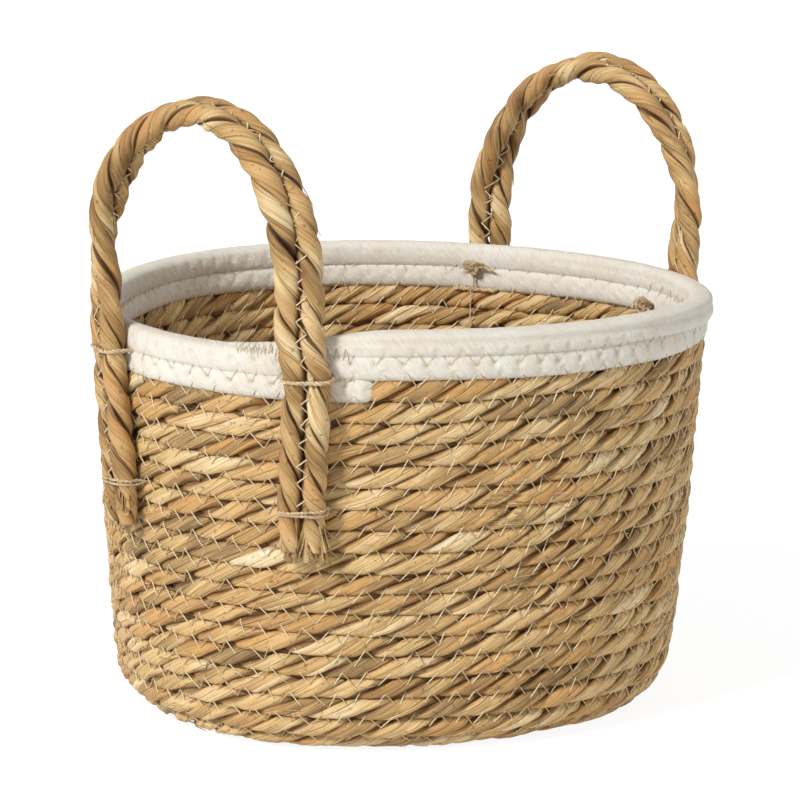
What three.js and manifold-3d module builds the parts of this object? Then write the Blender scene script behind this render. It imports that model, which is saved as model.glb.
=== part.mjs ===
// A round basket coiled from seagrass rope, with a rim of white cotton rope and two upright rope handles.
// Millimetres, +Z up, origin on the floor under the middle of the whole basket, handles towards -X and +X.
import * as THREE from 'three';
import { mergeVertices } from 'three/addons/utils/BufferGeometryUtils.js';
import Module from 'manifold-3d';

const wasm = await Module();
wasm.setup();

const { degToRad, clamp, smoothstep } = THREE.MathUtils;
const fullTurn = 2 * Math.PI;

// Bowl: outer radii of the wall at the rim, the middle and the foot, and the round of the bottom edge
const basketHeight = 192;
const rimRadius = 140;
const middleRadius = 135.2;
const footRadius = 128.2;
const middleHeightShare = 0.5;
const footHeightShare = 0.1;
const cornerRadius = 21.4;

// Hand work: the plan swells at three places, and the rim sits a little to one side of the base
const outOfRoundShare = 0.032;
const bulgeAngle = degToRad(-56);
const rimLean = 2.2;
const leanAngle = degToRad(-54);

// Rope rows: spacing from row to row, thickness through the wall, and the space left between rows
const grassPitch = 9.6;
const cottonPitch = 10.2;
const grassDepth = 9.6;
const cottonDepth = 10.4;
const rowClearance = 0.5;
const heartRadius = 5.5;
const baseFlatShare = 0.1;

// Winding: it climbs clockwise from above, and turns are counted down from the cotton rope's end
const stepsPerTurn = 22;
const ropeEndAngle = degToRad(-182.4);
const cottonSteps = 46;
const blendSteps = 2;
const taperSteps = 2;
const taperEndShare = 0.35;

// Handles: rope, arch and where the legs are sewn on
const ropeRadius = 5.15;
const ropeSides = 10;
const waistShare = 0.9;
const waistSlope = 2.5;
const ropeFootHeight = 95;
const footLashingHeight = 111;
const rimLashingHeight = 171;
const archTilt = degToRad(5);
const archStraight = 12;
const archFlare = 1.2;
const archSteps = 20;
const leftArchRise = 83.6;
const rightArchRise = 82.1;
const leftArchLean = 6;
const rightArchLean = 0.9;
const leftBackTurnRise = 48;
const leftFrontTurnRise = 83;
const rightFrontTurnRise = 69;
const rightBackTurnRise = 46;

// Where round the wall each leg is at its foot, at its rim lashing and where it bends
function legAngles(foot, rim, top) {
  return { footAngle: degToRad(foot), rimAngle: degToRad(rim), topAngle: degToRad(top) };
}

const handles = [
  {
    name: 'left',
    legs: [
      { name: 'back', ...legAngles(160.8, 158, 157), turnRise: leftBackTurnRise },
      { name: 'front', ...legAngles(201.2, 202, 200.5), turnRise: leftFrontTurnRise },
    ],
    archRise: leftArchRise,
    archLean: leftArchLean,
  },
  {
    name: 'right',
    legs: [
      { name: 'front', ...legAngles(-31, -31, -32.8), turnRise: rightFrontTurnRise },
      { name: 'back', ...legAngles(17, 17, 16.5), turnRise: rightBackTurnRise },
    ],
    archRise: rightArchRise,
    archLean: rightArchLean,
  },
];

// Twine lashings and the spaces between pieces that touch
const twineRadius = 1.2;
const twineSides = 6;
const innerBend = 2.6;
const knotRadius = 2.7;
const knotFlatShare = 0.75;
const seatGap = 0.3;
const cutOverrun = 2;

const grass = new THREE.MeshStandardMaterial({ color: 0xb98f55, roughness: 0.85, metalness: 0 });
const handleGrass = new THREE.MeshStandardMaterial({ color: 0xb5854a, roughness: 0.8, metalness: 0 });
const cotton = new THREE.MeshStandardMaterial({ color: 0xefebe2, roughness: 0.95, metalness: 0 });
const twine = new THREE.MeshStandardMaterial({ color: 0xcdb48a, roughness: 0.9, metalness: 0 });

// Radius of the wall's outside at a height: a parabola through the foot, the middle and the rim
function wallRadius(height) {
  const share = height / basketHeight;
  const foot = ((share - middleHeightShare) * (share - 1))
    / ((footHeightShare - middleHeightShare) * (footHeightShare - 1));
  const middle = ((share - footHeightShare) * (share - 1))
    / ((middleHeightShare - footHeightShare) * (middleHeightShare - 1));
  return footRadius * foot + middleRadius * middle + rimRadius * (1 - foot - middle);
}

// The middle of the rope wall in section, as radius and height, from the base's middle to the rim
function middleProfile() {
  const floor = -grassDepth * baseFlatShare;
  const arcSteps = 24;
  const outside = [new THREE.Vector2(0, floor)];
  for (let step = 0; step <= arcSteps; step += 1) {
    const turn = (step / arcSteps) * (Math.PI / 2);
    const height = floor + cornerRadius * (1 - Math.cos(turn));
    outside.push(new THREE.Vector2(wallRadius(height) - cornerRadius * (1 - Math.sin(turn)), height));
  }
  const wallFoot = floor + cornerRadius;
  const wallTop = basketHeight - (cottonPitch - rowClearance) / 2;
  for (let step = 1; step <= arcSteps; step += 1) {
    const height = wallFoot + (wallTop - wallFoot) * (step / arcSteps);
    outside.push(new THREE.Vector2(wallRadius(height), height));
  }
  return outside.map((point, index) => {
    const before = outside[Math.max(index - 1, 0)];
    const after = outside[Math.min(index + 1, outside.length - 1)];
    const along = after.clone().sub(before).normalize();
    if (index <= 1) along.set(1, 0);
    const inward = new THREE.Vector2(-along.y, along.x);
    return point.clone().addScaledVector(inward, grassDepth / 2);
  });
}

const profile = middleProfile();
const profileLengths = profile.reduce((lengths, point, index) => {
  lengths.push(index === 0 ? 0 : lengths[index - 1] + point.distanceTo(profile[index - 1]));
  return lengths;
}, []);
const profileLength = profileLengths[profileLengths.length - 1];
const flatLength = profileLengths[1];

function profileAt(length) {
  const found = profileLengths.findIndex((reached) => reached >= length);
  const last = found < 0 ? profile.length - 1 : Math.max(found, 1);
  const share = (length - profileLengths[last - 1]) / (profileLengths[last] - profileLengths[last - 1]);
  return new THREE.Vector2().lerpVectors(profile[last - 1], profile[last], share);
}

// A point of the bowl at an angle, from its radius on the round plan and its height
function bowlPoint(angle, radius, height) {
  const planRadius = radius * (1 + outOfRoundShare * Math.cos(3 * (angle - bulgeAngle)));
  const lean = (rimLean * height) / basketHeight;
  return new THREE.Vector3(
    planRadius * Math.cos(angle) + lean * Math.cos(leanAngle),
    planRadius * Math.sin(angle) + lean * Math.sin(leanAngle),
    height,
  );
}

// Cotton rows stand further apart than grass rows: how many times the difference a turn lies lower for it
const cottonTurns = cottonSteps / stepsPerTurn;
const blendTurns = blendSteps / stepsPerTurn;
function widerRows(turn) {
  const boundaries = [0, 1, 2, 3];
  return boundaries.reduce((sum, back) => {
    const passed = clamp((turn - (cottonTurns - back)) / blendTurns, 0, 1);
    return sum + passed * (back === 0 ? 0.5 : 1);
  }, 0);
}

function turnAngle(turn) {
  return ropeEndAngle + turn * fullTurn;
}

function rowMiddle(turn) {
  const wider = (cottonPitch - grassPitch) * (widerRows(turn) - widerRows(0));
  const place = profileAt(profileLength - grassPitch * turn - wider);
  return bowlPoint(turnAngle(turn), place.x, place.y);
}

// The six corners of the rope where it crosses one upright plane: it fills its row but for the clearance
function ropeCorners(turn, depth, heightShare) {
  const middle = rowMiddle(turn);
  const reach = (neighbour) => {
    const halfWay = neighbour.sub(middle).multiplyScalar(0.5);
    return halfWay.setLength(halfWay.length() - rowClearance / 2).add(middle);
  };
  const lower = reach(rowMiddle(turn + 1));
  const upper = lower.clone().lerp(reach(rowMiddle(turn - 1)), heightShare);
  const centre = lower.clone().lerp(upper, 0.5);
  const angle = turnAngle(turn);
  const around = new THREE.Vector3(-Math.sin(angle), Math.cos(angle), 0);
  const across = around.cross(upper.clone().sub(lower)).setLength(depth / 2);
  const upperHalf = centre.clone().lerp(upper, 0.5);
  const lowerHalf = centre.clone().lerp(lower, 0.5);
  const corners = [
    upper,
    upperHalf.clone().add(across),
    lowerHalf.clone().add(across),
    lower,
    lowerHalf.clone().sub(across),
    upperHalf.clone().sub(across),
  ];
  corners.forEach((corner) => corner.setZ(Math.max(corner.z, 0)));
  return corners;
}

// A closed skin over rings of points; each open end is filled from its tip, or flat from its first corner
function skin(rings, { closed = false, tips = [] } = {}) {
  const sides = rings[0].length;
  const points = [...rings.flat(), ...tips];
  const triangles = [];
  const spans = closed ? rings.length : rings.length - 1;
  for (let ring = 0; ring < spans; ring += 1) {
    const next = (ring + 1) % rings.length;
    for (let side = 0; side < sides; side += 1) {
      const other = (side + 1) % sides;
      const [a, b] = [ring * sides + side, ring * sides + other];
      const [c, d] = [next * sides + other, next * sides + side];
      triangles.push([a, b, c], [a, c, d]);
    }
  }
  if (!closed) {
    [0, rings.length - 1].forEach((ring, end) => {
      const tip = tips.length > 0 ? rings.length * sides + end : ring * sides;
      for (let side = 0; side < sides; side += 1) {
        const [a, b] = [ring * sides + side, ring * sides + ((side + 1) % sides)];
        if (a !== tip && b !== tip) triangles.push(end === 0 ? [tip, b, a] : [tip, a, b]);
      }
    });
  }
  const volume = triangles.reduce((sum, [a, b, c]) => (
    sum + points[a].dot(points[b].clone().cross(points[c]))), 0);
  const order = volume > 0 ? triangles : triangles.map(([a, b, c]) => [a, c, b]);
  const geometry = new THREE.BufferGeometry().setFromPoints(points);
  geometry.setIndex(order.flat());
  return geometry;
}

function solidOf(geometry) {
  const bare = geometry.clone();
  bare.deleteAttribute('normal');
  bare.deleteAttribute('uv');
  const merged = mergeVertices(bare);
  return new wasm.Manifold(new wasm.Mesh({
    numProp: 3,
    vertProperties: new Float32Array(merged.attributes.position.array),
    triVerts: new Uint32Array(merged.index.array),
  }));
}

function geometryOf(solid) {
  const mesh = solid.getMesh();
  const geometry = new THREE.BufferGeometry();
  geometry.setAttribute('position', new THREE.BufferAttribute(mesh.vertProperties, 3));
  geometry.setIndex(new THREE.BufferAttribute(mesh.triVerts, 1));
  return geometry;
}

function part(name, geometry, material) {
  geometry.computeVertexNormals();
  const mesh = new THREE.Mesh(geometry, material);
  mesh.name = name;
  return mesh;
}

// Moves an end ring back along its rope, so that it stops short of the piece it meets
function drawnBack(rings) {
  const [end, next] = rings;
  const share = seatGap / end[0].distanceTo(next[0]);
  return [end.map((corner, index) => corner.clone().lerp(next[index], share)), ...rings.slice(1)];
}

// The least space between loops of one rope, measured between points along the edges of its turns
function leastGap(rings) {
  const cuts = 3;
  const samples = [];
  for (let ring = 0; ring < rings.length - 1; ring += 1) {
    for (let cut = 0; cut < cuts; cut += 1) {
      samples.push(rings[ring].map((corner, side) => (
        corner.clone().lerp(rings[ring + 1][side], cut / cuts))));
    }
  }
  const halfLoop = (stepsPerTurn * cuts) / 2;
  let least = Infinity;
  samples.forEach((sample, index) => {
    const nextLoop = samples.slice(index + halfLoop, index + 3 * halfLoop);
    nextLoop.flat().forEach((point) => {
      sample.forEach((corner) => {
        least = Math.min(least, corner.distanceTo(point));
      });
    });
  });
  return least;
}

// The whole rope in three pieces: cotton rim, grass wall and grass base, met end to end
const lastStep = Math.floor(((profileLength - heartRadius) / grassPitch) * stepsPerTurn);
const baseStep = Math.round(((profileLength - flatLength) / grassPitch) * stepsPerTurn);
function ropeRings(fromStep, toStep, depth) {
  const rings = [];
  for (let step = fromStep; step <= toStep; step += 1) {
    const fullShare = clamp(step / taperSteps, 0, 1);
    const heightShare = taperEndShare + (1 - taperEndShare) * fullShare;
    rings.push(ropeCorners(step / stepsPerTurn, depth * Math.sqrt(heightShare), heightShare));
  }
  return rings;
}

const coils = [
  { name: 'rim_coil', rings: ropeRings(0, cottonSteps, cottonDepth), material: cotton },
  { name: 'wall_coil', rings: drawnBack(ropeRings(cottonSteps, baseStep, grassDepth)), material: grass },
  { name: 'base_coil', rings: drawnBack(ropeRings(baseStep, lastStep, grassDepth)), material: grass },
];
coils.forEach(({ name, rings }) => {
  console.log(`${name}: least gap between loops ${leastGap(rings).toFixed(2)} mm`);
});

// The flat stretch of wall under a leg: a point on its outside, the way along it and the way out of it
function wallSeat(angle, height) {
  const step = fullTurn / stepsPerTurn;
  const start = ropeEndAngle + Math.floor((angle - ropeEndAngle) / step) * step;
  const radius = wallRadius(height) + (cottonDepth - grassDepth) / 2;
  const from = bowlPoint(start, radius, height);
  const to = bowlPoint(start + step, radius, height);
  const middle = bowlPoint(angle, 0, height);
  const ray = bowlPoint(angle, radius, height).sub(middle);
  const stretch = to.clone().sub(from);
  const offset = from.clone().sub(middle);
  const share = -offset.clone().cross(ray).z / stretch.clone().cross(ray).z;
  const along = stretch.clone().normalize();
  return {
    point: from.addScaledVector(stretch, share),
    along,
    out: new THREE.Vector3(along.y, -along.x, 0),
  };
}

const pairHalf = ropeRadius + seatGap / 2;
function legMiddle(angle, height) {
  const seat = wallSeat(angle, height);
  return { ...seat, point: seat.point.clone().addScaledVector(seat.out, ropeRadius + seatGap) };
}

// The gap between two rows nearest to a height, where a needle goes through the wall
function rowGapHeight(angle, height) {
  const firstTurn = ((((angle - ropeEndAngle) / fullTurn) % 1) + 1) % 1;
  let nearest = Infinity;
  for (let turn = firstTurn; turn < baseStep / stepsPerTurn; turn += 1) {
    const gapHeight = rowMiddle(turn).lerp(rowMiddle(turn + 1), 0.5).z;
    if (Math.abs(gapHeight - height) < Math.abs(nearest - height)) nearest = gapHeight;
  }
  return nearest;
}

// A ring of corners round a point of a rope, in the plane of two directions
function ropeRing(point, first, second, radius, sides) {
  return Array.from({ length: sides }, (_, side) => {
    const turn = ((side + 0.5) / sides) * fullTurn;
    return point.clone()
      .addScaledVector(first, radius * Math.cos(turn))
      .addScaledVector(second, radius * Math.sin(turn));
  });
}

// One leg rope, drawn in where the twine goes round it, and following the wall between its lashings
function legRope(leg, side, topHeight) {
  const [foot, rim] = leg.lashings.map(({ angle, height }) => [
    [height - twineRadius - waistSlope, 1, angle],
    [height - twineRadius, waistShare, angle],
    [height + twineRadius, waistShare, angle],
    [height + twineRadius + waistSlope, 1, angle],
  ]);
  const spans = 3;
  const between = Array.from({ length: spans - 1 }, (_, index) => (
    foot[foot.length - 1].map((value, place) => (
      value + (rim[0][place] - value) * ((index + 1) / spans)))));
  const stations = [
    [ropeFootHeight, 1, leg.footAngle], ...foot, ...between, ...rim, [topHeight, 1, leg.topAngle],
  ];
  return skin(stations.map(([height, share, angle]) => {
    const { point, along, out } = legMiddle(angle, height);
    const middle = point.clone().addScaledVector(along, side * pairHalf);
    return ropeRing(middle, along, out, ropeRadius * share, ropeSides);
  }));
}

// The centre line of a pair of twine ends: out over both ropes, in through the wall and along its inside
function lashingOutline() {
  const reach = twineRadius + seatGap;
  const halfWidth = pairHalf + ropeRadius * waistShare + reach;
  const front = seatGap + ropeRadius * (1 + waistShare) + reach;
  const back = -cottonDepth - reach;
  const outline = new THREE.Path();
  const outerBend = ropeRadius * waistShare + reach;
  const quarter = Math.PI / 2;
  outline.absarc(halfWidth - outerBend, front - outerBend, outerBend, 0, quarter);
  outline.absarc(outerBend - halfWidth, front - outerBend, outerBend, quarter, 2 * quarter);
  outline.absarc(innerBend - halfWidth, back + innerBend, innerBend, 2 * quarter, 3 * quarter);
  outline.absarc(halfWidth - innerBend, back + innerBend, innerBend, 3 * quarter, 4 * quarter);
  return { outline, halfWidth, front, back };
}

function atLashing(angle, height, side, out) {
  const seat = wallSeat(angle, height);
  return seat.point.clone().addScaledVector(seat.along, side).addScaledVector(seat.out, out);
}

const upwards = new THREE.Vector3(0, 0, 1);
function lashing(angle, height) {
  const { outline, back } = lashingOutline();
  const bendSteps = 4;
  const places = outline.curves
    .filter((curve) => curve.isEllipseCurve)
    .flatMap((bend) => bend.getPoints(bendSteps));
  const rings = places.map((place, index) => {
    const before = places[(index + places.length - 1) % places.length];
    const after = places[(index + 1) % places.length];
    const here = atLashing(angle, height, place.x, place.y);
    const across = atLashing(angle, height, after.x, after.y)
      .sub(atLashing(angle, height, before.x, before.y)).normalize().cross(upwards);
    return ropeRing(here, across, upwards, twineRadius, twineSides);
  });
  const knot = new THREE.SphereGeometry(knotRadius, 8, 6);
  knot.scale(1, 1, knotFlatShare);
  const knotOut = back - (knotRadius - twineRadius);
  knot.translate(...atLashing(angle, height, 0, knotOut).toArray());
  return geometryOf(solidOf(skin(rings, { closed: true })).add(solidOf(knot)));
}

// The two needle holes that a lashing uses
function needleHoles(angle, height) {
  const { halfWidth, back } = lashingOutline();
  return [-halfWidth, halfWidth].map((side) => {
    const { along } = wallSeat(angle, height);
    const ends = [back - cutOverrun, cutOverrun];
    return solidOf(skin(ends.map((out) => (
      ropeRing(atLashing(angle, height, side, out), along, upwards, twineRadius + seatGap, twineSides)))));
  });
}

// Where a handle bends: a level axis through the middles of its two pairs of legs, just above the rim
function hingeOf(handle) {
  const tops = handle.legs.map(({ topAngle }) => {
    const turn = ((((topAngle - ropeEndAngle) / fullTurn) % 1) + 1) % 1;
    return rowMiddle(turn).z + (cottonPitch - rowClearance) / 2;
  });
  const legTop = Math.max(...tops);
  const levelLine = (height) => {
    const [first, second] = handle.legs.map(({ topAngle }) => legMiddle(topAngle, height));
    const along = second.point.clone().sub(first.point).normalize();
    const out = new THREE.Vector3(-along.y, along.x, 0);
    if (out.dot(first.out) < 0) out.negate();
    return { first, second, along, out };
  };
  const level = levelLine(legTop);
  const sideways = [level.first, level.second].map((leg) => Math.abs(leg.along.dot(level.out)));
  const round = pairHalf * Math.max(...sideways) + ropeRadius + seatGap / 2;
  const height = legTop + round + seatGap;
  const { first, second, along, out } = levelLine(height);
  const middle = first.point.clone().lerp(second.point, 0.5);
  return { height, legTop, middle, along, out, round, half: first.point.distanceTo(second.point) / 2 };
}

// The arch's centre line in its own plane, as width and rise, with the share of each leg's turn it has made
function archPlaces(handle, hinge) {
  const widest = hinge.half + archFlare;
  const crown = handle.archRise - archStraight;
  const half = (direction, turnRise) => {
    const places = [];
    const add = (width, rise) => places.push({
      width: direction * width, rise, direction, turned: smoothstep(rise, 0, turnRise),
    });
    const lean = direction * handle.archLean;
    add(hinge.half, 0);
    add(hinge.half + archFlare / 2, archStraight / 2);
    for (let step = 0; step < archSteps / 2; step += 1) {
      const turn = (step / archSteps) * Math.PI;
      add(widest * Math.cos(turn) + lean * Math.sin(turn) ** 2, archStraight + crown * Math.sin(turn));
    }
    return places;
  };
  const crownPlace = { width: handle.archLean, rise: handle.archRise, direction: 1, turned: 1 };
  return [...half(-1, handle.legs[0].turnRise), crownPlace, ...half(1, handle.legs[1].turnRise).reverse()];
}

// One of the two ropes of an arch: the inner rope of the legs passes to the outside over the top
function archRope(handle, hinge, side) {
  const up = upwards.clone().multiplyScalar(Math.cos(archTilt))
    .addScaledVector(hinge.out, Math.sin(archTilt));
  const face = hinge.out.clone().multiplyScalar(Math.cos(archTilt))
    .addScaledVector(upwards, -Math.sin(archTilt));
  const places = archPlaces(handle, hinge);
  const middleOf = (place) => hinge.middle.clone()
    .addScaledVector(hinge.along, place.width).addScaledVector(up, place.rise);
  const startTurns = handle.legs.map(({ topAngle }) => {
    const { along } = wallSeat(topAngle, hinge.height);
    return Math.asin(Math.abs(along.dot(hinge.out)));
  });
  const middles = places.map((place, index) => {
    const before = middleOf(places[Math.max(index - 1, 0)]);
    const after = middleOf(places[Math.min(index + 1, places.length - 1)]);
    const inward = face.clone().cross(after.sub(before)).normalize();
    if (inward.dot(hinge.middle.clone().addScaledVector(up, archStraight).sub(middleOf(place))) < 0) {
      inward.negate();
    }
    const start = startTurns[place.direction < 0 ? 0 : 1];
    const turn = start + (Math.PI / 2 - start) * place.turned;
    return middleOf(place)
      .addScaledVector(inward, side * pairHalf * Math.cos(turn))
      .addScaledVector(face, side * pairHalf * Math.sin(turn));
  });
  const rings = middles.map((middle, index) => {
    const along = middles[Math.min(index + 1, middles.length - 1)].clone()
      .sub(middles[Math.max(index - 1, 0)]).normalize();
    const across = face.clone().addScaledVector(along, -face.dot(along)).normalize();
    return ropeRing(middle, across, along.clone().cross(across), ropeRadius, ropeSides);
  });
  const dropped = (point) => {
    const off = point.clone().sub(hinge.middle).dot(hinge.out);
    return point.clone().setZ(hinge.height - Math.sqrt(hinge.round ** 2 - off ** 2));
  };
  const ends = [rings[0], rings[rings.length - 1]].map((ring) => ring.map(dropped));
  const tips = [middles[0], middles[middles.length - 1]].map(dropped);
  return skin([ends[0], ...rings, ends[1]], { tips });
}

const basket = new THREE.Group();
const holes = [];
const hinges = handles.map(hingeOf);
handles.forEach((handle, handleIndex) => {
  const hinge = hinges[handleIndex];
  handle.legs.forEach((leg, index) => {
    const label = `${handle.name}_${leg.name}`;
    const lashings = [
      { end: 'foot', angle: leg.footAngle, height: rowGapHeight(leg.footAngle, footLashingHeight) },
      { end: 'rim', angle: leg.rimAngle, height: rowGapHeight(leg.rimAngle, rimLashingHeight) },
    ];
    const sewn = { ...leg, lashings };
    const inwards = index === 0 ? 1 : -1;
    basket.add(part(`${label}_leg_inner`, legRope(sewn, inwards, hinge.legTop), handleGrass));
    basket.add(part(`${label}_leg_outer`, legRope(sewn, -inwards, hinge.legTop), handleGrass));
    lashings.forEach(({ end, angle, height }) => {
      basket.add(part(`${label}_${end}_lashing`, lashing(angle, height), twine));
      holes.push(...needleHoles(angle, height));
    });
  });
  basket.add(part(`${handle.name}_arch_inner`, archRope(handle, hinge, 1), handleGrass));
  basket.add(part(`${handle.name}_arch_outer`, archRope(handle, hinge, -1), handleGrass));
});
coils.forEach(({ name, rings, material }) => {
  const whole = solidOf(skin(rings));
  basket.add(part(name, geometryOf(holes.reduce((left, hole) => left.subtract(hole), whole)), material));
});

// The origin goes to the middle of the whole basket's outline, on the floor
const outlineMiddle = new THREE.Box3().setFromObject(basket).getCenter(new THREE.Vector3());
basket.position.set(-outlineMiddle.x, -outlineMiddle.y, 0);
hinges.forEach(({ middle, along }, index) => {
  const words = [middle.clone().add(basket.position), along]
    .map((value) => value.toArray().map((number) => number.toFixed(3)));
  console.log(`${handles[index].name} handle bends about a line through ${words[0]} mm along ${words[1]}`);
});

export default basket;
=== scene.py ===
import math

import bpy
import numpy as np
from mathutils import Matrix, Vector


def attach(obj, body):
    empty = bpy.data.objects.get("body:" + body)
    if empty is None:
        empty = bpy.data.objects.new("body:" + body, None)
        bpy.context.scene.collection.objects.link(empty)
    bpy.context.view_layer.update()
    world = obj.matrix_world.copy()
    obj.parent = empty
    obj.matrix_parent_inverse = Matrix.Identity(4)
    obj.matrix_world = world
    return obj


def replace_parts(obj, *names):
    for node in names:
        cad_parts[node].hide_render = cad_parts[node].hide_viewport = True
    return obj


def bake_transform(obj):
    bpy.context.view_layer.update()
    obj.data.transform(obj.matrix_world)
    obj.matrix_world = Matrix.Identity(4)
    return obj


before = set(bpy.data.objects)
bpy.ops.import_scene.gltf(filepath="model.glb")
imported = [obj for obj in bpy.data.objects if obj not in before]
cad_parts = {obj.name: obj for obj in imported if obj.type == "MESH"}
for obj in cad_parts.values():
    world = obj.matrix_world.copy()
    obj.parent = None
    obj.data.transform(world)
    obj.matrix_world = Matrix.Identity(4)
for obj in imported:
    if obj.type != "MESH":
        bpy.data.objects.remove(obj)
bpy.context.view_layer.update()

TAU = 2 * math.pi
MM = 0.001
UP = np.array([0, 0, 1.0])

# The bowl, in millimetres, as the part's source has it
BASKET_HEIGHT = 192
RIM_RADIUS = 140
MIDDLE_RADIUS = 135.2
FOOT_RADIUS = 128.2
MIDDLE_SHARE = 0.5
FOOT_SHARE = 0.1
CORNER_RADIUS = 21.4
PROFILE_STEPS = 24
OUT_OF_ROUND = 0.032
BULGE_ANGLE = math.radians(-56)
RIM_LEAN = 2.2
LEAN_ANGLE = math.radians(-54)
GRASS_PITCH = 9.6
COTTON_PITCH = 10.2
GRASS_DEPTH = 9.6
COTTON_DEPTH = 10.4
ROW_CLEARANCE = 0.5
HALF_COTTON_ROW = (COTTON_PITCH - ROW_CLEARANCE) / 2
HEART_RADIUS = 5.5
BASE_FLAT_SHARE = 0.1
STEPS_PER_TURN = 22
ROPE_END_ANGLE = math.radians(-182.4)
COTTON_TURNS = 46 / STEPS_PER_TURN
BLEND_TURNS = 2 / STEPS_PER_TURN
SHIFT = np.array([0.6257, 1.3451, 0.0])
# Half the step, in turns, over which the way along a row is taken
WAY_STEP = 0.004
# The waves of hand work in a row, up and down the wall and in and out of it: millimetres, and how many in a turn
ROW_SWAY = 0.55
ROW_SWAYS = 15
ROW_PUSH = 0.45
ROW_PUSHES = 19

# The handles, in millimetres, as the part's source has them
ROPE_RADIUS = 5.15
SEAT_GAP = 0.3
PAIR_HALF = ROPE_RADIUS + SEAT_GAP / 2
ROPE_FOOT = 95
FOOT_LASHING = 111
RIM_LASHING = 171
ARCH_TILT = math.radians(5)
ARCH_STRAIGHT = 12
ARCH_FLARE = 1.2
LASHING_REACH = 3.7
# A handle's arch rises over the hinge and leans towards its second leg. Its ropes are darkened with painted shade
# near the first foot by dim, turned over at the top by tip, in radians, and swollen: place and reach as shares of
# the rope, and how much.
# A leg has its angles in degrees at the foot, the rim and the hinge. Above the hinge its pair goes from side by
# side to one behind the other, over the height turn and early degrees ahead of that. Then how far its two ropes'
# ends flare and how much longer they are, and how much higher than the rim lashing and larger its knot is.
HANDLES = {
    "left": {
        "rise": 83.6, "lean": 6, "dim": 0.25, "tip": 0.0,
        "legs": [
            {"name": "back", "foot": 160.8, "rim": 158, "top": 157, "turn": 48, "early": 0,
             "flares": (1.8, 3.2), "longer": -6, "knot": (0, 1)},
            {"name": "front", "foot": 201.2, "rim": 202, "top": 200.5, "turn": 83, "early": 0,
             "flares": (1.2, 4.2), "longer": 3, "knot": (0, 1)},
        ],
        "swells": {"inner": [(0.66, 0.10, 0.20), (0.20, 0.05, 0.06)],
                   "outer": [(0.60, 0.08, 0.10), (0.45, 0.10, 0.05)]},
    },
    "right": {
        "rise": 82.1, "lean": 0.9, "dim": 0.0, "tip": 0.32,
        "legs": [
            {"name": "front", "foot": -31, "rim": -31, "top": -32.8, "turn": 69, "early": 15,
             "flares": (2.4, 2.4), "longer": 0, "knot": (4, 1.7)},
            {"name": "back", "foot": 17, "rim": 17, "top": 16.5, "turn": 46, "early": 0,
             "flares": (3.0, 1.6), "longer": 0, "knot": (11, 1.4)},
        ],
        "swells": {"inner": [(0.5, 0.12, 0.06)], "outer": [(0.5, 0.12, 0.05)]},
    },
}
LEGS = [(side, leg) for side, handle in HANDLES.items() for leg in handle["legs"]]


def unit(v):
    return v / np.maximum(np.linalg.norm(v, axis=-1, keepdims=True), 1e-12)


def square_to(along, hint):
    """The unit way square to along that is nearest to hint."""
    return unit(hint - along * (hint * along).sum(-1, keepdims=True))


def stack(*values):
    """Arrays and numbers, spread to one shape, side by side on a new last axis."""
    return np.stack(np.broadcast_arrays(*values), -1)


def clip01(x):
    return np.clip(x, 0, 1)


def ease(x):
    """From 0 to 1 with a soft start and end."""
    return x * x * (3 - 2 * x)


def rotated(x, y, angle):
    return x * np.cos(angle) - y * np.sin(angle), x * np.sin(angle) + y * np.cos(angle)


def line_lengths(points):
    """How long each line is up to each of its points."""
    steps = np.linalg.norm(np.diff(points, axis=-2), axis=-1)
    return np.concatenate([0 * steps[..., :1], np.cumsum(steps, -1)], -1)


def resampled(at, length, points):
    """A line given at these lengths, taken at others."""
    return np.stack([np.interp(at, length, column) for column in points.T], -1)


def pick(seed, index):
    """A random number from -1 to 1 for each whole number."""
    return np.random.default_rng(seed).uniform(-1, 1, 4096)[index % 4096]


def wave(seed, x):
    """Smooth noise from -1 to 1 along a line, with one swing per unit of x."""
    start = np.floor(x).astype(int)
    share = ease(x - start)
    return pick(seed, start) * (1 - share) + pick(seed, start + 1) * share


def wave_round(seed, x, y, period):
    """Smooth noise that repeats every period of x and changes slowly along y."""
    i, j = np.floor(x).astype(int), np.floor(y).astype(int)
    f, g = ease(x - i), ease(y - j)
    def row(j):
        return pick(seed, i % period + 97 * j) * (1 - f) + pick(seed, (i + 1) % period + 97 * j) * f
    return row(j) * (1 - g) + row(j + 1) * g


def wall_radius(height):
    share = height / BASKET_HEIGHT
    foot = ((share - MIDDLE_SHARE) * (share - 1)) / ((FOOT_SHARE - MIDDLE_SHARE) * (FOOT_SHARE - 1))
    middle = ((share - FOOT_SHARE) * (share - 1)) / ((MIDDLE_SHARE - FOOT_SHARE) * (MIDDLE_SHARE - 1))
    return FOOT_RADIUS * foot + MIDDLE_RADIUS * middle + RIM_RADIUS * (1 - foot - middle)


def middle_profile():
    """Radius and height of the rope's middle, from the centre of the base to the rim."""
    floor = -GRASS_DEPTH * BASE_FLAT_SHARE
    turn = np.linspace(0, math.pi / 2, PROFILE_STEPS + 1)
    height = floor + CORNER_RADIUS * (1 - np.cos(turn))
    radius = wall_radius(height) - CORNER_RADIUS * (1 - np.sin(turn))
    wall_foot = floor + CORNER_RADIUS
    wall_top = BASKET_HEIGHT - HALF_COTTON_ROW
    high = wall_foot + (wall_top - wall_foot) * np.arange(1, PROFILE_STEPS + 1) / PROFILE_STEPS
    radius = np.concatenate([[0], radius, wall_radius(high)])
    outside = np.stack([radius, np.concatenate([[floor], height, high])], -1)
    padded = np.pad(outside, ((1, 1), (0, 0)), "edge")
    along = unit(padded[2:] - padded[:-2])
    along[:2] = (1, 0)
    return outside + np.stack([-along[:, 1], along[:, 0]], -1) * GRASS_DEPTH / 2


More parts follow.
